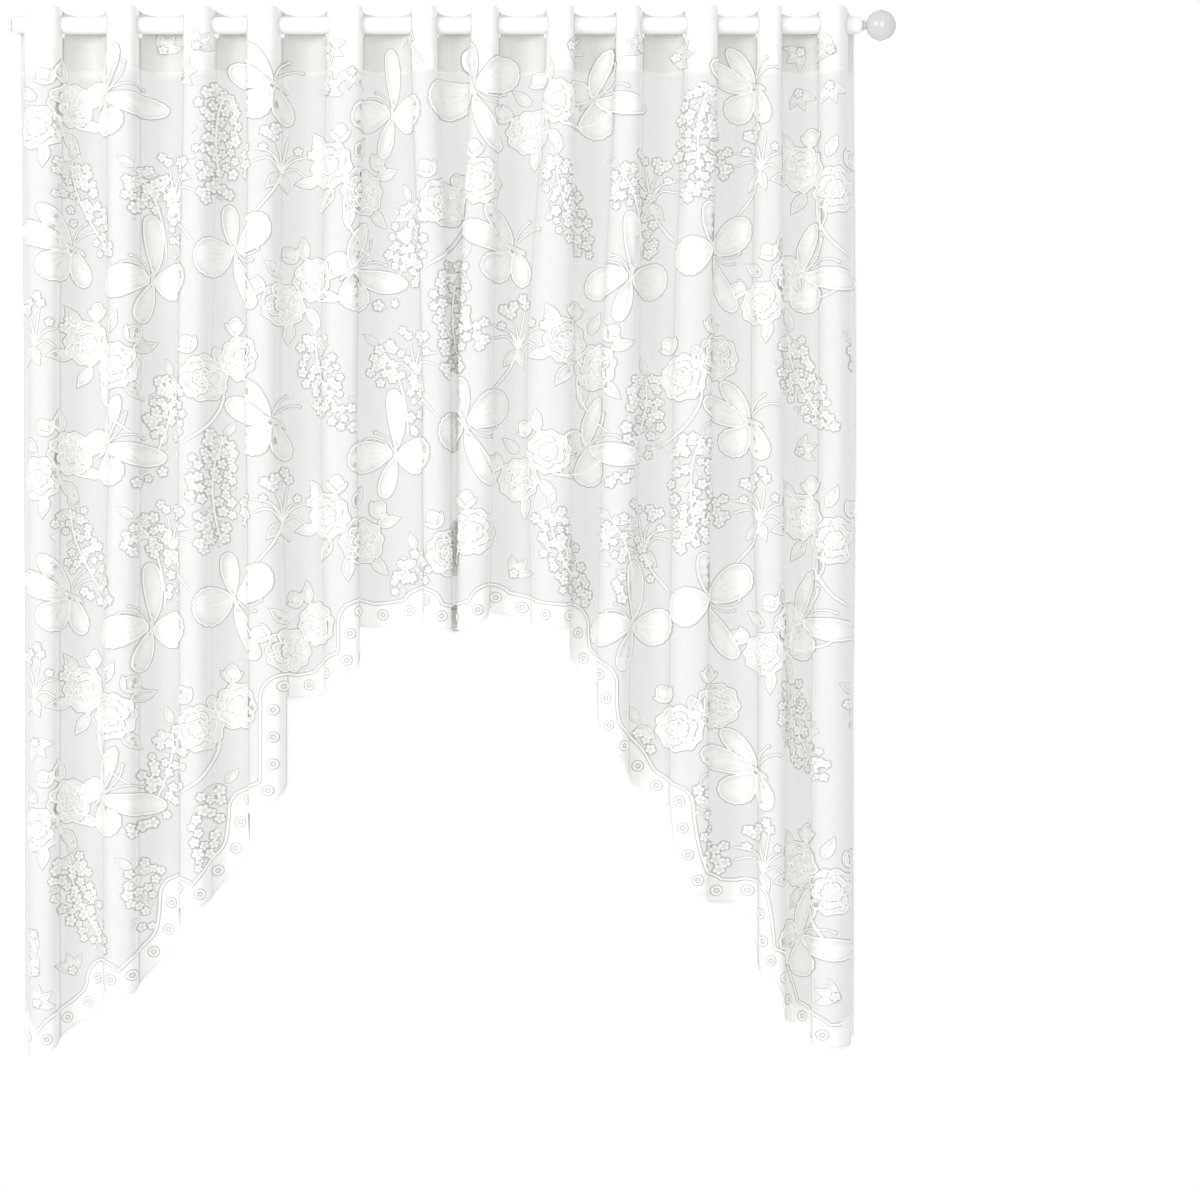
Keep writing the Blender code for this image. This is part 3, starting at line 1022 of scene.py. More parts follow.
stitches = Relief()
for middle in np.arange(STITCH_PITCH, DRAWN_WIDTH - STITCH_PITCH, STITCH_PITCH):
    dash = [(middle + share * STITCH, -HEADING_DEPTH + 1.5 * MM) for share in (-0.5, 0, 0.5)]
    stitches.sweep(dash, 1.1 * MM, 0.45 * MM, taper=True)
heading_stitches = stitches.piece("heading_stitches", cord_finish)


def slot_outline(number, side):
    """The loop of drawn points where one side of a fold meets the clearance circle."""
    angles = np.linspace(0, 2 * math.pi, SLOT_POINTS, endpoint=False)
    wanted = (SLOT_RADIUS + 0.4 * MM) * np.cos(angles)
    height = -SLOT_DROP + (SLOT_RADIUS + 0.4 * MM) * np.sin(angles)
    front = np.full(SLOT_POINTS, float(number))
    back = front + 0.5 * side
    for _ in range(40):
        middle = (front + back) / 2
        behind = surface(middle, height)[:, 1] > wanted
        back = np.where(behind, middle, back)
        front = np.where(behind, front, middle)
    return np.stack([across_at(middle), height], -1)


slots = Relief()
for number in range(1, len(FOLDS) + 1):
    for side in (-1, 1):
        # tone 0.8 paints the whipped edge a little grey, as painted shadow along the slot's rim.
        slots.sweep(slot_outline(number, side), 1.3 * MM, 0.5 * MM, closed=True, tone=0.8)
slot_edges = slots.piece("slot_edges", cord_finish)

# %% [markdown]
# ## The motifs
#
# Each motif is drawn once, flat and in millimetres, from the few points that its
# outline needs, and stamped many times. The butterflies fly at a slant, so their near
# wings are broad and their far ones narrow. A rose is a whorl of overlapping petals
# that climb towards the heart. Blossom is a five-lobed floret, used by the hundred.

# %% Butterflies
WING_RIM = 2.0 * MM
WAVE_PITCH = 9 * MM


def mm(points):
    return np.asarray(points, float) * MM


def wing(shape, points, waves=0.0, rise=0.0):
    """A wing with a corded rim, an uneven margin, and veins spread from the root."""
    outline = smooth_loop(mm(points), 3.0 * MM)
    reach = np.linalg.norm(outline, axis=1)
    outer = smooth_share(reach, reach.max() * 0.5, reach.max() * 0.8)
    along = np.arange(len(outline)) * 3.0 * MM
    wave = waves * MM * outer * np.abs(np.sin(np.pi * along / WAVE_PITCH))
    outline = outline - side_normals(outline, True) * wave[:, None]
    shape.plate(outline, WING_RIM, rise)
    middle = outline.mean(0)
    for slant, length in ((-22, 0.95), (-8, 1.18), (7, 1.22), (21, 0.98)):
        tip = placed([middle * length], (0, 0), slant)[0]
        line = smooth_line([tip * 0.34, tip * 0.7 + np.array([0.4, 0.4]) * MM, tip], 5 * MM)
        if within(outline, line).all():
            shape.sweep(line, 1.1 * MM, 0.30 * MM, taper=True, rise=rise + FIELD_LIFT - FOOT_LIFT, tone=0.78)


def slim_body(shape, length, width, turn=0.0, rise=0.5 * MM):
    ys = np.linspace(-0.58, 0.42, 7)
    half = width / 2 * np.sin(np.linspace(0.14, 1, 7) * math.pi) ** 0.6
    right = np.stack([half, ys * length], -1)
    left = right[::-1] * (-1, 1)
    outline = smooth_loop(mm(np.vstack([right, left[1:-1]])), 2.2 * MM)
    shape.plate(placed(outline, (0, 0), turn), 0.9 * MM, rise, 3 * MM)


def feelers(shape, points_list):
    for points in points_list:
        line = smooth_line(mm(points), 3.5 * MM)
        shape.sweep(line, 1.7 * MM, 0.9 * MM, flange=0.8 * MM)
        knob = smooth_loop(line[-1] + mm([(2.2, 0), (0, 2.2), (-2.2, 0), (0, -2.2)]), 1.8 * MM)
        shape.plate(knob, 0.8 * MM, 0.2 * MM, 3 * MM)


def gliding_butterfly():
    """Seen from above at a slant: a long far wing, and broad near wings over it."""
    shape = Relief()
    wing(shape, [(0, 4), (5, 18), (8, 36), (5, 54), (-4, 61), (-13, 55), (-15, 38), (-11, 20), (-4, 6)])
    wing(shape, [(0, -4), (10, -16), (22, -34), (32, -54), (36, -70), (28, -78), (15, -71), (4, -52), (-3, -26)])
    near = [(2, 4), (8, 17), (20, 33), (35, 42), (50, 41), (57, 30), (56, 14), (46, 2), (30, -5), (12, -5)]
    wing(shape, near, 0.8, 0.35 * MM)
    round_wing = [(-3, 4), (-14, 14), (-30, 18), (-44, 10), (-50, -6), (-46, -22), (-33, -31), (-18, -26)]
    wing(shape, [*round_wing, (-5, -10)], 1.2, 0.35 * MM)
    slim_body(shape, 26, 5.0, 14)
    feelers(shape, [[(3, -2), (13, -12), (24, -17), (33, -16)], [(4, 0), (18, -8), (33, -8), (41, -3)]])
    return shape


def spread_butterfly():
    """Wings open and level, turned a little, so that the left pair is the narrower."""
    shape = Relief()
    fore = [(2, 3), (10, 16), (24, 32), (40, 43), (53, 46), (57, 38), (51, 24), (39, 10), (20, 0), (6, -3)]
    hind = [(3, -1), (18, 2), (33, 2), (42, -6), (44, -19), (36, -31), (22, -36), (10, -28), (3, -12)]
    for narrow in (1.0, -0.66):
        wing(shape, [(x * narrow, y) for x, y in hind], 1.1)
    for narrow in (1.0, -0.66):
        wing(shape, [(x * narrow, y * 1.04) for x, y in fore], 0.6, 0.35 * MM)
    slim_body(shape, 38, 5.2, rise=0.6 * MM)
    feelers(shape, [[(1, 13), (5, 24), (12, 34), (20, 39)], [(-1, 13), (-3, 25), (-8, 35), (-14, 41)]])
    return shape


def settled_butterfly():
    """Side on, wings half raised, feelers forward."""
    shape = Relief()
    wing(shape, [(0, 2), (-5, 20), (-3, 42), (6, 57), (16, 60), (20, 49), (17, 28), (9, 6)], 0.5)
    wing(shape, [(1, -3), (10, -14), (15, -31), (11, -46), (1, -50), (-8, -40), (-9, -24), (-5, -8)], 1.0)
    fore = [(3, 2), (9, 20), (22, 39), (38, 51), (51, 50), (54, 38), (45, 21), (28, 6), (10, -2)]
    wing(shape, fore, 0.7, 0.35 * MM)
    hind = [(4, -3), (19, 2), (36, 4), (47, -4), (48, -18), (38, -30), (23, -32), (10, -20)]
    wing(shape, hind, 1.1, 0.2 * MM)
    slim_body(shape, 32, 5.2, -40, rise=0.7 * MM)
    feelers(shape, [[(-5, 7), (-16, 17), (-28, 21)], [(-6, 5), (-19, 9), (-31, 8), (-38, 4)]])
    return shape


# %% Roses, leaves and buds


def rose_shape():
    """Whorls of petals, each whorl smaller, higher and turned a little further."""
    shape = Relief()
    petal = [(0, -10), (-12, -5), (-16, 5), (-11, 13), (-1, 12.5), (10, 14), (16, 5), (12, -5)]
    for petals, reach, size, rise, start in (
        (5, 14.0, 1.00, 0.0, 8),
        (3, 7.6, 0.86, 0.40, 40),
        (3, 3.4, 0.55, 0.80, 95),
    ):
        for k in range(petals):
            turn = start + 360 * k / petals
            outward = placed([(0, reach * MM)], (0, 0), turn)[0]
            outline = placed(smooth_loop(mm(petal) * size, 3.0 * MM), outward, turn)
            shape.plate(outline, 1.8 * MM, (rise + 0.08 * k) * MM, flange=0.8 * MM)
    angles = np.linspace(0, 3.4 * math.pi, 24)
    spiral = np.stack([np.cos(angles), np.sin(angles)], -1) * np.linspace(0.8, 5.4, 24)[:, None]
    shape.sweep(smooth_line(mm(spiral), 2.4 * MM), 1.5 * MM, 0.5 * MM, rise=1.6 * MM)
    return shape


def leaf_shape():
    shape = Relief()
    outline = [(0, 0), (4, 5.2), (11, 7.6), (19, 5.8), (27, 1.4), (31, 0)]
    outline += [(27, -2.4), (19, -6.6), (11, -7.2), (4, -4.8)]
    shape.plate(smooth_loop(mm(outline), 2.6 * MM), 1.4 * MM)
    midrib = smooth_line(mm([(2, 0), (13, 0.8), (26, 0)]), 5 * MM)
    shape.sweep(midrib, 1.2 * MM, 0.30 * MM, taper=True, rise=FIELD_LIFT - FOOT_LIFT, tone=0.62)
    return shape


def bud_shape():
    """A closed bud between two sepals."""
    shape = Relief()
    bud = [(0, 0), (7, 4), (9.5, 12), (5, 20), (0, 22), (-5, 20), (-9.5, 12), (-7, 4)]
    shape.plate(smooth_loop(mm(bud), 2.6 * MM), 1.5 * MM)
    for way in (1, -1):
        sepal = [(0, -1), (5 * way, 0), (11 * way, 6), (13 * way, 14), (7 * way, 10), (1 * way, 4)]
        shape.plate(smooth_loop(mm(sepal), 2.2 * MM), 1.0 * MM, 0.3 * MM)
    return shape


# %% Blossom
FLORET_ANGLES = np.radians([72 * k + a for k in range(5) for a in (0, 24, 48)])


def floret_shape(radius):
    """Five squarish petals about a sunk eye, with a notch between each pair."""
    notch = np.tile([0.0, 1.0, 1.0], 5)
    ways = np.stack([np.cos(FLORET_ANGLES), np.sin(FLORET_ANGLES)], -1)
    count = len(ways)
    points, tones = [], []
    # The rings' tones paint a shadow flange round the floret, shade in the notches and round the sunk eye, and a
    # highlight on the bead in its middle.
    for reach, lift, tone in (
        (0.86 + 0.16 * notch + 0.7 * MM / radius, np.full(count, FOOT_LIFT), np.zeros(count)),
        (0.82 + 0.18 * notch, np.full(count, FOOT_LIFT), np.zeros(count)),
        (0.64 + 0.26 * notch, (0.60 + 0.45 * notch) * MM, 0.45 + 0.55 * notch),
        (0.46 + 0.04 * notch, (0.50 + 0.30 * notch) * MM, 0.66 + 0.28 * notch),
        (np.full(count, 0.20), np.full(count, 0.40 * MM), np.full(count, 0.45)),
    ):
        points.append(np.column_stack([ways * (reach * radius)[:, None], lift]))
        tones.append(tone)
    faces = band_faces(5, count)
    eye = 5 * count
    points.append(np.array([[0, 0, 0.70 * MM]]))
    tones.append(np.full(1, 0.9))
    faces += [(4 * count + k, 4 * count + (k + 1) % count, eye) for k in range(count)]
    shape = Relief()
    shape.add(np.vstack(points), np.concatenate(tones), faces)
    return shape


# %% [markdown]
# ## Laying out the pattern
#
# A knitted pattern repeats, here about every 340 mm across as drawn and 400 mm down.
# The table below is one repeat. Every other repeat across is dropped by half its
# height, so the rows do not line up in stripes. Near the hem, the heading and the side
# edges a motif is eased into the cloth until its whole outline is inside, the way that
# a designer fits a pattern to its border. Gaps that are left take a leaf or a floret.

# %% The repeat
REPEAT_WIDTH = DRAWN_WIDTH / 3.5
REPEAT_HEIGHT = 0.404
SIDE_MARGIN = 3 * MM
TOP_LIMIT = -0.024

Motif = namedtuple("Motif", "kind x y turn size flip")
REPEAT = [
    Motif("gliding", 60, 345, 4, 0.92, False),
    Motif("spread", 232, 322, -52, 0.98, False),
    Motif("settled", 120, 148, 24, 0.95, True),
    Motif("gliding", 290, 112, 160, 0.90, False),
    Motif("roses", 150, 300, 60, 0.90, False),
    Motif("roses", 46, 214, 10, 0.95, True),
    Motif("roses", 222, 28, -15, 0.95, False),
    Motif("spray", 316, 404, -98, 1.00, False),
    Motif("spray", 176, 252, -75, 0.95, True),
    Motif("spray", 48, 132, -100, 1.02, True),
    Motif("spray", 268, 238, -64, 0.95, False),
    Motif("umbel", 130, 30, 80, 0.95, False),
    Motif("umbel", 318, 200, 100, 0.90, True),
]

SHAPES = {
    "gliding": gliding_butterfly(),
    "spread": spread_butterfly(),
    "settled": settled_butterfly(),
    "rose": rose_shape(),
    "leaf": leaf_shape(),
    "bud": bud_shape(),
}
florets = [floret_shape(radius * MM) for radius in (5.6, 6.3, 7.0)]

butterflies, roses, leaves, blossom, stems = (Relief() for _ in range(5))
chance = np.random.default_rng(12)


def strain(outline):
    """The move, if any, that brings the worst placed point of an outline inside."""
    across, height = outline.T
    moves = [
        (SIDE_MARGIN - across.min(), (1.0, 0.0)),
        (across.max() - DRAWN_WIDTH + SIDE_MARGIN, (-1.0, 0.0)),
        (height.max() - TOP_LIMIT, (0.0, -1.0)),
    ]
    clipped = np.clip(across, 0, DRAWN_WIDTH)
    gaps = hem_gap(clipped, height)
    worst = int(gaps.argmin())
    need = BORDER_WIDTH + 2.5 * MM - gaps[worst]
    if need > 0:
        spot = np.array([clipped[worst], height[worst]])
        nearest = np.array(hem_tree.find((*spot, 0))[0][:2])
        way = (spot - nearest) * (1 if gaps[worst] > 0 else -1)
        length = np.linalg.norm(way)
        way = way / length if length > 0 else np.array([0.0, 1.0])
        moves.append((need, tuple(way)))
    need, way = max(moves, key=lambda move: move[0])
    return need, np.array(way)


def ease_in(outline, limit=55 * MM):
    """How far to move an outline so that all of it is in the cloth, or None."""
    total = np.zeros(2)
    for _ in range(14):
        need, way = strain(outline + total)
        if need <= 0:
            return total
        total = total + way * (need + 0.5 * MM)
        if np.linalg.norm(total) > limit:
            return None
    return None


def fits(place, radius):
    """True if a small round shape is clear of the border and the edges."""
    place = np.asarray(place, float)
    if not radius < place[0] < DRAWN_WIDTH - radius or place[1] > -radius:
        return False
    return hem_gap(place[:1], place[1:])[0] > BORDER_WIDTH + radius * 0.8


taken = []


def take(points):
    """Remember ground that a motif covers."""
    taken.extend(np.asarray(points)[:, :2])


def crowded(place, radius):
    """True if a big motif is already nearer than a radius."""
    spots = np.array(taken).reshape(-1, 2)
    return len(spots) > 0 and np.linalg.norm(spots - place, axis=1).min() < radius


def add_stem(points, width=2.8 * MM, lift=0.9 * MM):
    """A stem along its line, if the whole of it is inside the cloth."""
    line = smooth_line(points, 5 * MM)
    if all(fits(place, 1.5 * MM) for place in line[::2]):
        stems.sweep(line, width, lift, taper=True, flange=0.8 * MM)
        return True
    return False


def lay_butterfly(kind, at, turn, size, flip):
    drawn = SHAPES[kind].merged()[0][::5, :2]
    move = ease_in(placed(drawn[::3], at, turn, size, flip))
    if move is not None:
        butterflies.stamp(SHAPES[kind], at + move, turn, size, flip, rise=0.3 * MM)
        take(placed(drawn, at + move, turn, size, flip))


def lay_leaf(at, turn, size, flip=False):
    middle = placed([(15 * MM, 0)], at, turn, size)[0]
    if fits(middle, 12 * MM * size) and not crowded(middle, 5 * MM):
        leaves.stamp(SHAPES["leaf"], at, turn, size, flip)


def lay_roses(kind, at, turn, size, flip):
    """Two roses on one stalk, with leaves round them and a bud above."""
    spots = placed(mm([(-25, 4), (25, -14)]), at, turn, size, flip)
    angles = np.linspace(0, 6.0, 12)
    ring = np.stack([np.cos(angles), np.sin(angles)], -1) * 29 * MM * size
    move = ease_in(np.vstack([spot + ring for spot in spots]))
    if move is None:
        move = ease_in(spots[0] + ring, 30 * MM)
        spots = spots[:1]
    if move is None:
        return
    at = at + move
    for index, spot in enumerate(spots):
        roses.stamp(SHAPES["rose"], spot + move, 47 * index + turn, size, flip, rise=0.3 * MM * index)
        take(spot + move + ring * 0.8)
        take([spot + move])
    mirror = -1 if flip else 1
    for x, y, slant, scale in (
        (-44, 22, 140, 1.05),
        (-44, -16, 205, 1.0),
        (-14, -26, 250, 1.05),
        (14, -42, 285, 1.0),
        (48, -34, 330, 1.0),
        (46, 12, 35, 1.0),
        (6, 26, 80, 0.95),
    ):
        spot = placed(mm([(x, y)]) * 0.88, at, turn, size, flip)[0]
        way = turn + (slant if mirror > 0 else 180 - slant)
        lay_leaf(spot, way, size * scale, flip)
    for x, y, slant in ((-20, 34, 14), (32, 20, -24)):
        spot = placed(mm([(x, y)]), at, turn, size, flip)[0]
        if fits(spot, 14 * MM):
            leaves.stamp(SHAPES["bud"], spot, turn + slant * mirror, size, flip)
            take([spot])
    stalk = placed(mm([(2, -20), (10, -48), (34, -74), (66, -88)]), at, turn, size, flip)
    add_stem(stalk, 3.2 * MM)


def lay_spray(kind, at, turn, size, flip):
    """A tapering panicle of florets on a bent stem, packed as closely as they fit."""
    mirror = -1 if flip else 1
    spine = placed(mm([(0, 0), (34, 5 * mirror), (72, 0), (108, -12 * mirror), (132, -26 * mirror)]), at, turn, size)
    line = smooth_line(spine, 2 * MM)
    sideways = side_normals(line, False)
    add_stem(line[: int(len(line) * 0.9) : 3])
    spots = []
    for _ in range(420):
        share = chance.uniform(0.04, 1.0)
        index = int(share * (len(line) - 1))
        half = 26 * MM * size * math.sin(math.pi * min(1.0, share * 0.86 + 0.14)) ** 0.7
        place = line[index] + sideways[index] * chance.uniform(-half, half)
        room = chance.uniform(7.6, 9.6) * MM * size
        if all(np.linalg.norm(place - other) > room for other in spots):
            spots.append(place)
    for k, place in enumerate(spots):
        if not fits(place, 6 * MM) or crowded(place, 6 * MM):
            continue
        tilt, scale = chance.uniform(0, 360), size * chance.uniform(0.82, 1.08)
        if k % 6 == 5:
            leaves.stamp(SHAPES["leaf"], place, tilt, scale * 0.34, rise=0.3 * MM)
        else:
            blossom.stamp(florets[k % 3], place, tilt, scale, rise=0.25 * MM * (k % 3))
    take(line)
    for share, way, scale in ((0.04, 62, 0.8), (0.10, -60, 0.75), (0.0, -150, 0.7)):
        lay_leaf(line[int(share * len(line))], turn + way * mirror, size * scale)


def lay_umbel(kind, at, turn, size, flip):
    """Bent stalks that fan from one knot, with a floret or two at each tip."""
    mirror = -1 if flip else 1
    for k, slant in enumerate(np.linspace(-84, 84, 9)):
        reach = (30 + 9 * ((k * 5) % 3)) * MM * size
        way = math.radians(turn + slant * mirror)
        bend = math.radians(turn + slant * mirror * 0.6)
        first = at + reach * 0.55 * np.array([math.cos(bend), math.sin(bend)])
        tip = at + reach * np.array([math.cos(way), math.sin(way)])
        if crowded(tip, 7 * MM) or not add_stem([at, first, tip], 2.0 * MM, 0.7 * MM):
            continue
        out = (tip - first) / np.linalg.norm(tip - first)
        cross = np.array([-out[1], out[0]])
        for ahead, aside in ((6, 0), (14, 6.5), (14, -6.5))[: 1 + k % 3]:
            place = tip + (out * ahead + cross * aside) * MM * size
            if fits(place, 6 * MM) and not crowded(place, 6 * MM):
                blossom.stamp(florets[k % 3], place, 20 * k, size)
                take([place])
    take([at])
    lay_leaf(at, turn + 150 * mirror, size * 0.9)
    lay_leaf(at, turn - 150 * mirror, size * 0.8)
    tail = placed(mm([(0, 0), (-26, 6 * mirror), (-58, 24 * mirror)]), at, turn, size)
    add_stem(tail, 2.6 * MM)


LAY = {
    "gliding": lay_butterfly,
    "spread": lay_butterfly,
    "settled": lay_butterfly,
    "roses": lay_roses,
    "spray": lay_spray,
    "umbel": lay_umbel,
}


def pattern_places():
    """Every place in the cloth where a motif of the repeat falls."""
    for i in range(-1, 5):
        for j in range(-1, 4):
            corner = np.array([(i - 0.3) * REPEAT_WIDTH, -(j + 1) * REPEAT_HEIGHT])
            corner[1] += (i % 2) * REPEAT_HEIGHT / 2
            for motif in REPEAT:
                at = corner + np.array([motif.x / 345 * REPEAT_WIDTH, motif.y * MM])
                inside = -0.02 < at[0] < DRAWN_WIDTH + 0.02 and at[1] < 0.0
                if inside and hem_gap(np.clip(at[:1], 0, DRAWN_WIDTH), at[1:])[0] > -0.02:
                    yield motif, at


for wanted in (("gliding", "spread", "settled"), ("roses",), ("spray",), ("umbel",)):
    for motif, at in pattern_places():
        if motif.kind in wanted:
            LAY[motif.kind](motif.kind, at, motif.turn, motif.size, motif.flip)

# %% [markdown]
# The places that stay open get small sprigs. A jittered lattice of candidates is tried
# against all the shapes already laid.

# %% Sprigs in the gaps
SPRIG_ROOM = 31 * MM


def fill_gaps():
    laid = np.vstack([relief.merged()[0][::4, :2] for relief in (butterflies, roses, leaves, blossom, stems)])
    tree = KDTree(len(laid) + 4000)
    for index, spot in enumerate(laid):
        tree.insert((*spot, 0), index)
    tree.balance()
    added = []
    for x in np.arange(0.01, DRAWN_WIDTH, 15 * MM):
        for y in np.arange(-0.03, -1.16, -15 * MM):
            place = np.array([x, y]) + chance.uniform(-5, 5, 2) * MM
            if not fits(place, 6 * MM):
                continue
            room = tree.find((*place, 0))[2]
            if added:
                room = min(room, np.linalg.norm(np.array(added) - place, axis=1).min() - 5 * MM)
            if room > SPRIG_ROOM and fits(place, 16 * MM):
                turn = chance.uniform(0, 360)
                for way in (-48, 0, 48):
                    leaves.stamp(SHAPES["leaf"], place, turn + way, 0.72)
                blossom.stamp(florets[0], place, turn, 1.0, rise=0.6 * MM)
                added.append(place)
    return len(added)


print("sprigs in the gaps", fill_gaps())
motif_pieces = [
    butterflies.piece("butterflies", motif_finish),
    roses.piece("roses", petal_finish),
    leaves.piece("leaves_and_buds", motif_finish),
    blossom.piece("blossom", petal_finish),
    stems.piece("stems", cord_finish),
]

# %% [markdown]
# ## Rod and finials
#
# The rod is a thin steel tube in satin white paint. Its ends are closed by a plug with
# a blunt tip on the left and by a glossy ball on a short neck on the right. All three
# are turned shapes, so each is a profile spun about the rod's line.

# %% Paint and gloss


def make_paint_material():
    """Satin paint: faint greyer streaks of rubbing, slight orange peel, and uneven roughness."""
    made, graph, shader = new_material("satin white paint", 0.36)
    shader.inputs["Coat Weight"].default_value = 0.15
    place = graph.node("ShaderNodeTexCoord").outputs["Object"]
    rubbed = graph.ramp(graph.noise(graph.stretched(place, (1, 6, 6)), 22.0, 4.0), 0.56, 0.74)
    colour = graph.colours(rubbed, (0.86, 0.86, 0.85, 1), (0.78, 0.775, 0.76, 1))
    graph.feed(shader.inputs["Base Color"], colour)
    graph.feed(shader.inputs["Roughness"], graph.ramp(graph.noise(place, 60.0, 3.0), 0.3, 0.7, 0.30, 0.46))
    peel = graph.noise(place, 420.0, 2.0)
    graph.feed(shader.inputs["Normal"], graph.bump(peel, 0.0001, 0.25))
    return made


def make_gloss_material():
    """Moulded gloss: clear lacquer over pale grey, with hairline wear."""
    made, graph, shader = new_material("glossy pale ball", 0.14)
    shader.inputs["Coat Weight"].default_value = 0.6
    shader.inputs["Coat Roughness"].default_value = 0.05
    place = graph.node("ShaderNodeTexCoord").outputs["Object"]
    cloud = graph.ramp(graph.noise(place, 34.0, 3.0), 0.35, 0.7)
    graph.feed(shader.inputs["Base Color"], graph.colours(cloud, (0.60, 0.60, 0.595, 1), (0.68, 0.68, 0.67, 1)))
    hair = graph.noise(graph.stretched(place, (40, 900, 900)), 1.0, 2.0)
    graph.feed(shader.inputs["Roughness"], graph.ramp(hair, 0.3, 0.8, 0.10, 0.24))
    return made


paint_finish = make_paint_material()
gloss_finish = make_gloss_material()

# %% Spin the profiles
TURN_STEPS = 72


def turned(name, profile, material):
    """A closed shape spun about the rod's line from (distance along X, radius) points."""
    along, radius = np.array(profile, float).T
    angles = np.linspace(0, 2 * math.pi, TURN_STEPS, endpoint=False)
    inner = slice(1, len(profile) - 1)
    rings = [
        np.stack([np.full(TURN_STEPS, x), r * np.sin(angles), r * np.cos(angles)], -1)
        for x, r in zip(along[inner], radius[inner])
    ]
    points = np.vstack([[[along[0], 0, 0]], *rings, [[along[-1], 0, 0]]])
    faces = []
    for ring in range(len(rings) - 1):
        base = 1 + ring * TURN_STEPS
        for k in range(TURN_STEPS):
            after = (k + 1) % TURN_STEPS
            faces.append((base + k, base + after, base + TURN_STEPS + after, base + TURN_STEPS + k))
    last = len(points) - 1
    for k in range(TURN_STEPS):
        after = (k + 1) % TURN_STEPS
        faces.append((0, 1 + after, 1 + k))
        faces.append((last, last - TURN_STEPS + k, last - TURN_STEPS + after))
    mesh = bpy.data.meshes.new(name)
    mesh.from_pydata(points.tolist(), [], faces)
    mesh.validate()
    mesh.shade_smooth()
    mesh.set_sharp_from_angle(angle=math.radians(42))
    mesh.materials.append(material)
    made = bpy.data.objects.new(name, mesh)
    bpy.context.scene.collection.objects.link(made)
    return made


def arc(centre_x, centre_r, radius, start, end, count):
    """Profile points round a centre, by angles in degrees from the +X direction."""
    angles = np.radians(np.linspace(start, end, count))
    return [(centre_x + radius * math.cos(a), centre_r + radius * math.sin(a)) for a in angles]


def rod_profile():
    """Rounded ends with a fine groove where each end plug meets the tube."""
    rounding = ROD_RADIUS * 0.5
    groove = 0.0045
    right = [(ROD_HALF, 0.0), (ROD_HALF, ROD_RADIUS - rounding)]
    right += arc(ROD_HALF - rounding, ROD_RADIUS - rounding, rounding, 0, 90, 8)[1:]
    for inset, radius in ((2.2, 1.0), (2.3, 0.96), (2.5, 0.96), (2.6, 1.0)):
        right.append((ROD_HALF - groove * inset, ROD_RADIUS * radius))
    for x in np.linspace(0.9, 0.0, 12):
        right.append((ROD_HALF * x, ROD_RADIUS))
    left = [(-x, r) for x, r in reversed(right[:-1])]
    return [*right, *left]


ball_low, ball_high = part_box("ball_finial")
tip_low, tip_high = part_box("tip_finial")
BALL_RADIUS = (ball_high.z - ball_low.z) / 2
BALL_CENTRE = ball_high.x - BALL_RADIUS
NECK_RADIUS = BALL_RADIUS * 0.25

neck_angle = math.degrees(math.asin(NECK_RADIUS / BALL_RADIUS))
ball_profile = [(ball_high.x, 0.0)]
ball_profile += arc(BALL_CENTRE, 0.0, BALL_RADIUS, 0, 180 - neck_angle, 40)[1:]
ball_profile += [
    (ball_low.x + 0.0022, NECK_RADIUS),
    (ball_low.x + 0.0020, NECK_RADIUS * 1.35),
    (ball_low.x + 0.0006, NECK_RADIUS * 1.45),
    (ball_low.x, NECK_RADIUS * 1.35),
    (ball_low.x, 0.0),
]

TIP_RADIUS = (tip_high.z - tip_low.z) / 2
TIP_LENGTH = tip_high.x - tip_low.x
TIP_SHAPE = [
    (0.00, 0.00), (0.00, 0.86), (0.05, 0.96), (0.12, 1.00), (0.20, 0.97), (0.26, 0.86),
    (0.29, 0.62), (0.34, 0.60), (0.38, 0.72), (0.52, 0.66), (0.70, 0.50), (0.86, 0.32),
    (0.96, 0.20), (1.00, 0.08), (1.00, 0.00),
]  # fmt: skip
tip_profile = [(tip_high.x - share * TIP_LENGTH, radius * TIP_RADIUS) for share, radius in TIP_SHAPE]

rod_tube = turned("rod_tube", rod_profile(), paint_finish)
ball = turned("gloss_ball", ball_profile, gloss_finish)
tip = turned("turned_tip", tip_profile, paint_finish)
print("ball radius", round(BALL_RADIUS, 4), "tip length", round(TIP_LENGTH, 4))

# %% [markdown]
# ## Which body and which solid each piece stands for
#
# Cloth has no joints, so everything rides on the one body. The sheet replaces the
# curtain's solid and carries the raised work with it.

# %% Ride and replace
for piece, node, slot in (
    (lace_cloth, "curtain", "lace"),
    (rod_tube, "rod", "rod_paint"),
    (ball, "ball_finial", "ball_gloss"),
    (tip, "tip_finial", "rod_paint"),
):
    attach(piece, BODY)
    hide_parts(node)
on_cloth = [edge_cords, border_rings, heading_stitches, slot_edges, *motif_pieces]
for piece in on_cloth:
    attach(piece, BODY)

# %% [markdown]
# ## Floor, light and camera
#
# The curtain hangs as it would at a window, with the floor two metres below the rod.
# The main light is a large soft source at the left and in front, so that each fold
# is bright on its left side and dim on its right; a wide weak source in front opens
# the shade, and one behind serves the view from the window side. The surroundings are
# plain white.

# %% Stage
FLOOR_DROP = 2.0


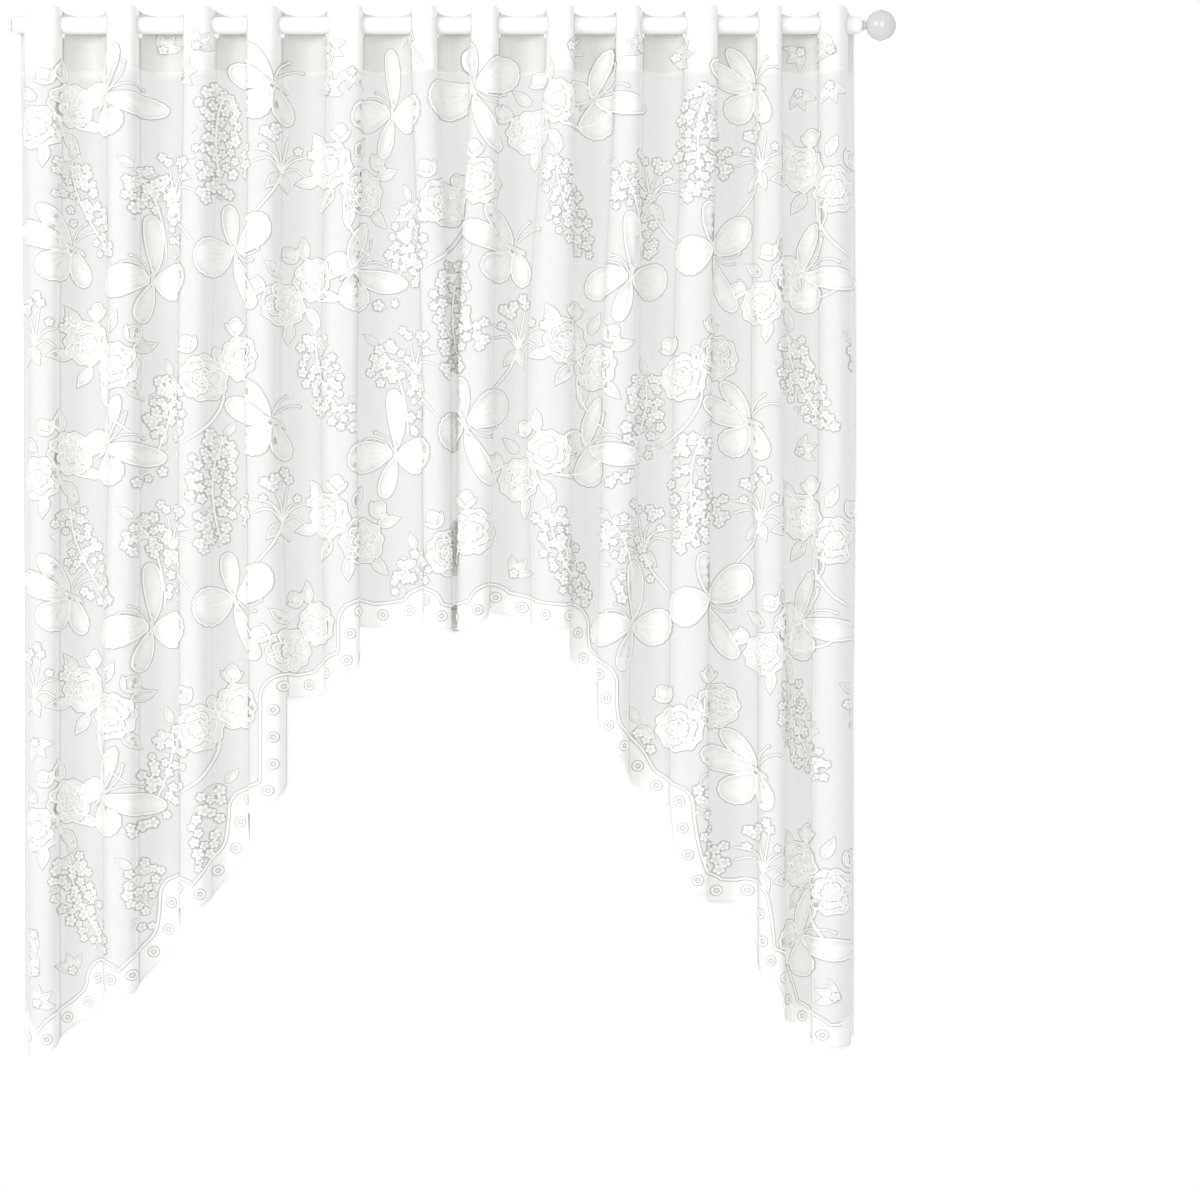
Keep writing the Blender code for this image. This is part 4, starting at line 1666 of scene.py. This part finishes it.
def make_floor():
    made, graph, shader = new_material("pale floor", 0.6)
    place = graph.node("ShaderNodeTexCoord").outputs["Object"]
    shade = graph.noise(place, 3.0, 3.0)
    graph.feed(shader.inputs["Base Color"], graph.colours(shade, (0.86, 0.86, 0.855, 1), (0.90, 0.90, 0.895, 1)))
    bpy.ops.mesh.primitive_circle_add(
        vertices=96, radius=2.4, fill_type="NGON", location=(0, 0, -FLOOR_DROP)
    )
    floor = bpy.context.object
    floor.name = "floor"
    floor.data.materials.append(made)


def make_light(name, place, target, size, power):
    data = bpy.data.lights.new(name, "AREA")
    data.shape = "DISK"
    data.size = size
    data.energy = power
    lamp = bpy.data.objects.new(name, data)
    lamp.location = place
    lamp.rotation_euler = (Vector(target) - Vector(place)).to_track_quat("-Z", "Y").to_euler()
    bpy.context.scene.collection.objects.link(lamp)


def make_surroundings(seen, given):
    """White to look at, and a softer white as light."""
    world = bpy.data.worlds.new("white room")
    bpy.context.scene.world = world
    world.use_nodes = True
    graph = Graph(world.node_tree)
    back = world.node_tree.nodes["Background"]
    back.inputs["Color"].default_value = (1, 1, 1, 1)
    looking = graph.node("ShaderNodeLightPath").outputs["Is Camera Ray"]
    graph.feed(back.inputs["Strength"], graph.ramp(looking, 0, 1, given, seen, smooth=False))


make_floor()
make_surroundings(seen=1.0, given=0.80)
MIDDLE = (0.0, 0.0, -0.55)
make_light("main light", (-2.4, -3.0, 0.3), MIDDLE, 1.6, 52)
make_light("front light", (0.6, -4.0, 0.0), MIDDLE, 2.5, 38)
make_light("window light", (1.2, 3.4, 0.4), MIDDLE, 2.0, 40)

# %% Camera
FRAME_WIDTH = 1.385
FRAME_CENTRE = (0.188, -0.657)
LENS, SENSOR = 85.0, 36.0

camera_data = bpy.data.cameras.new("camera")
camera_data.lens = LENS
camera_data.sensor_width = SENSOR
camera = bpy.data.objects.new("camera", camera_data)
camera.location = (FRAME_CENTRE[0], -FRAME_WIDTH * LENS / SENSOR - 0.01, FRAME_CENTRE[1])
camera.rotation_euler = (math.radians(90), 0, 0)
bpy.context.scene.collection.objects.link(camera)
bpy.context.scene.camera = camera
bpy.context.scene.view_settings.view_transform = "Standard"
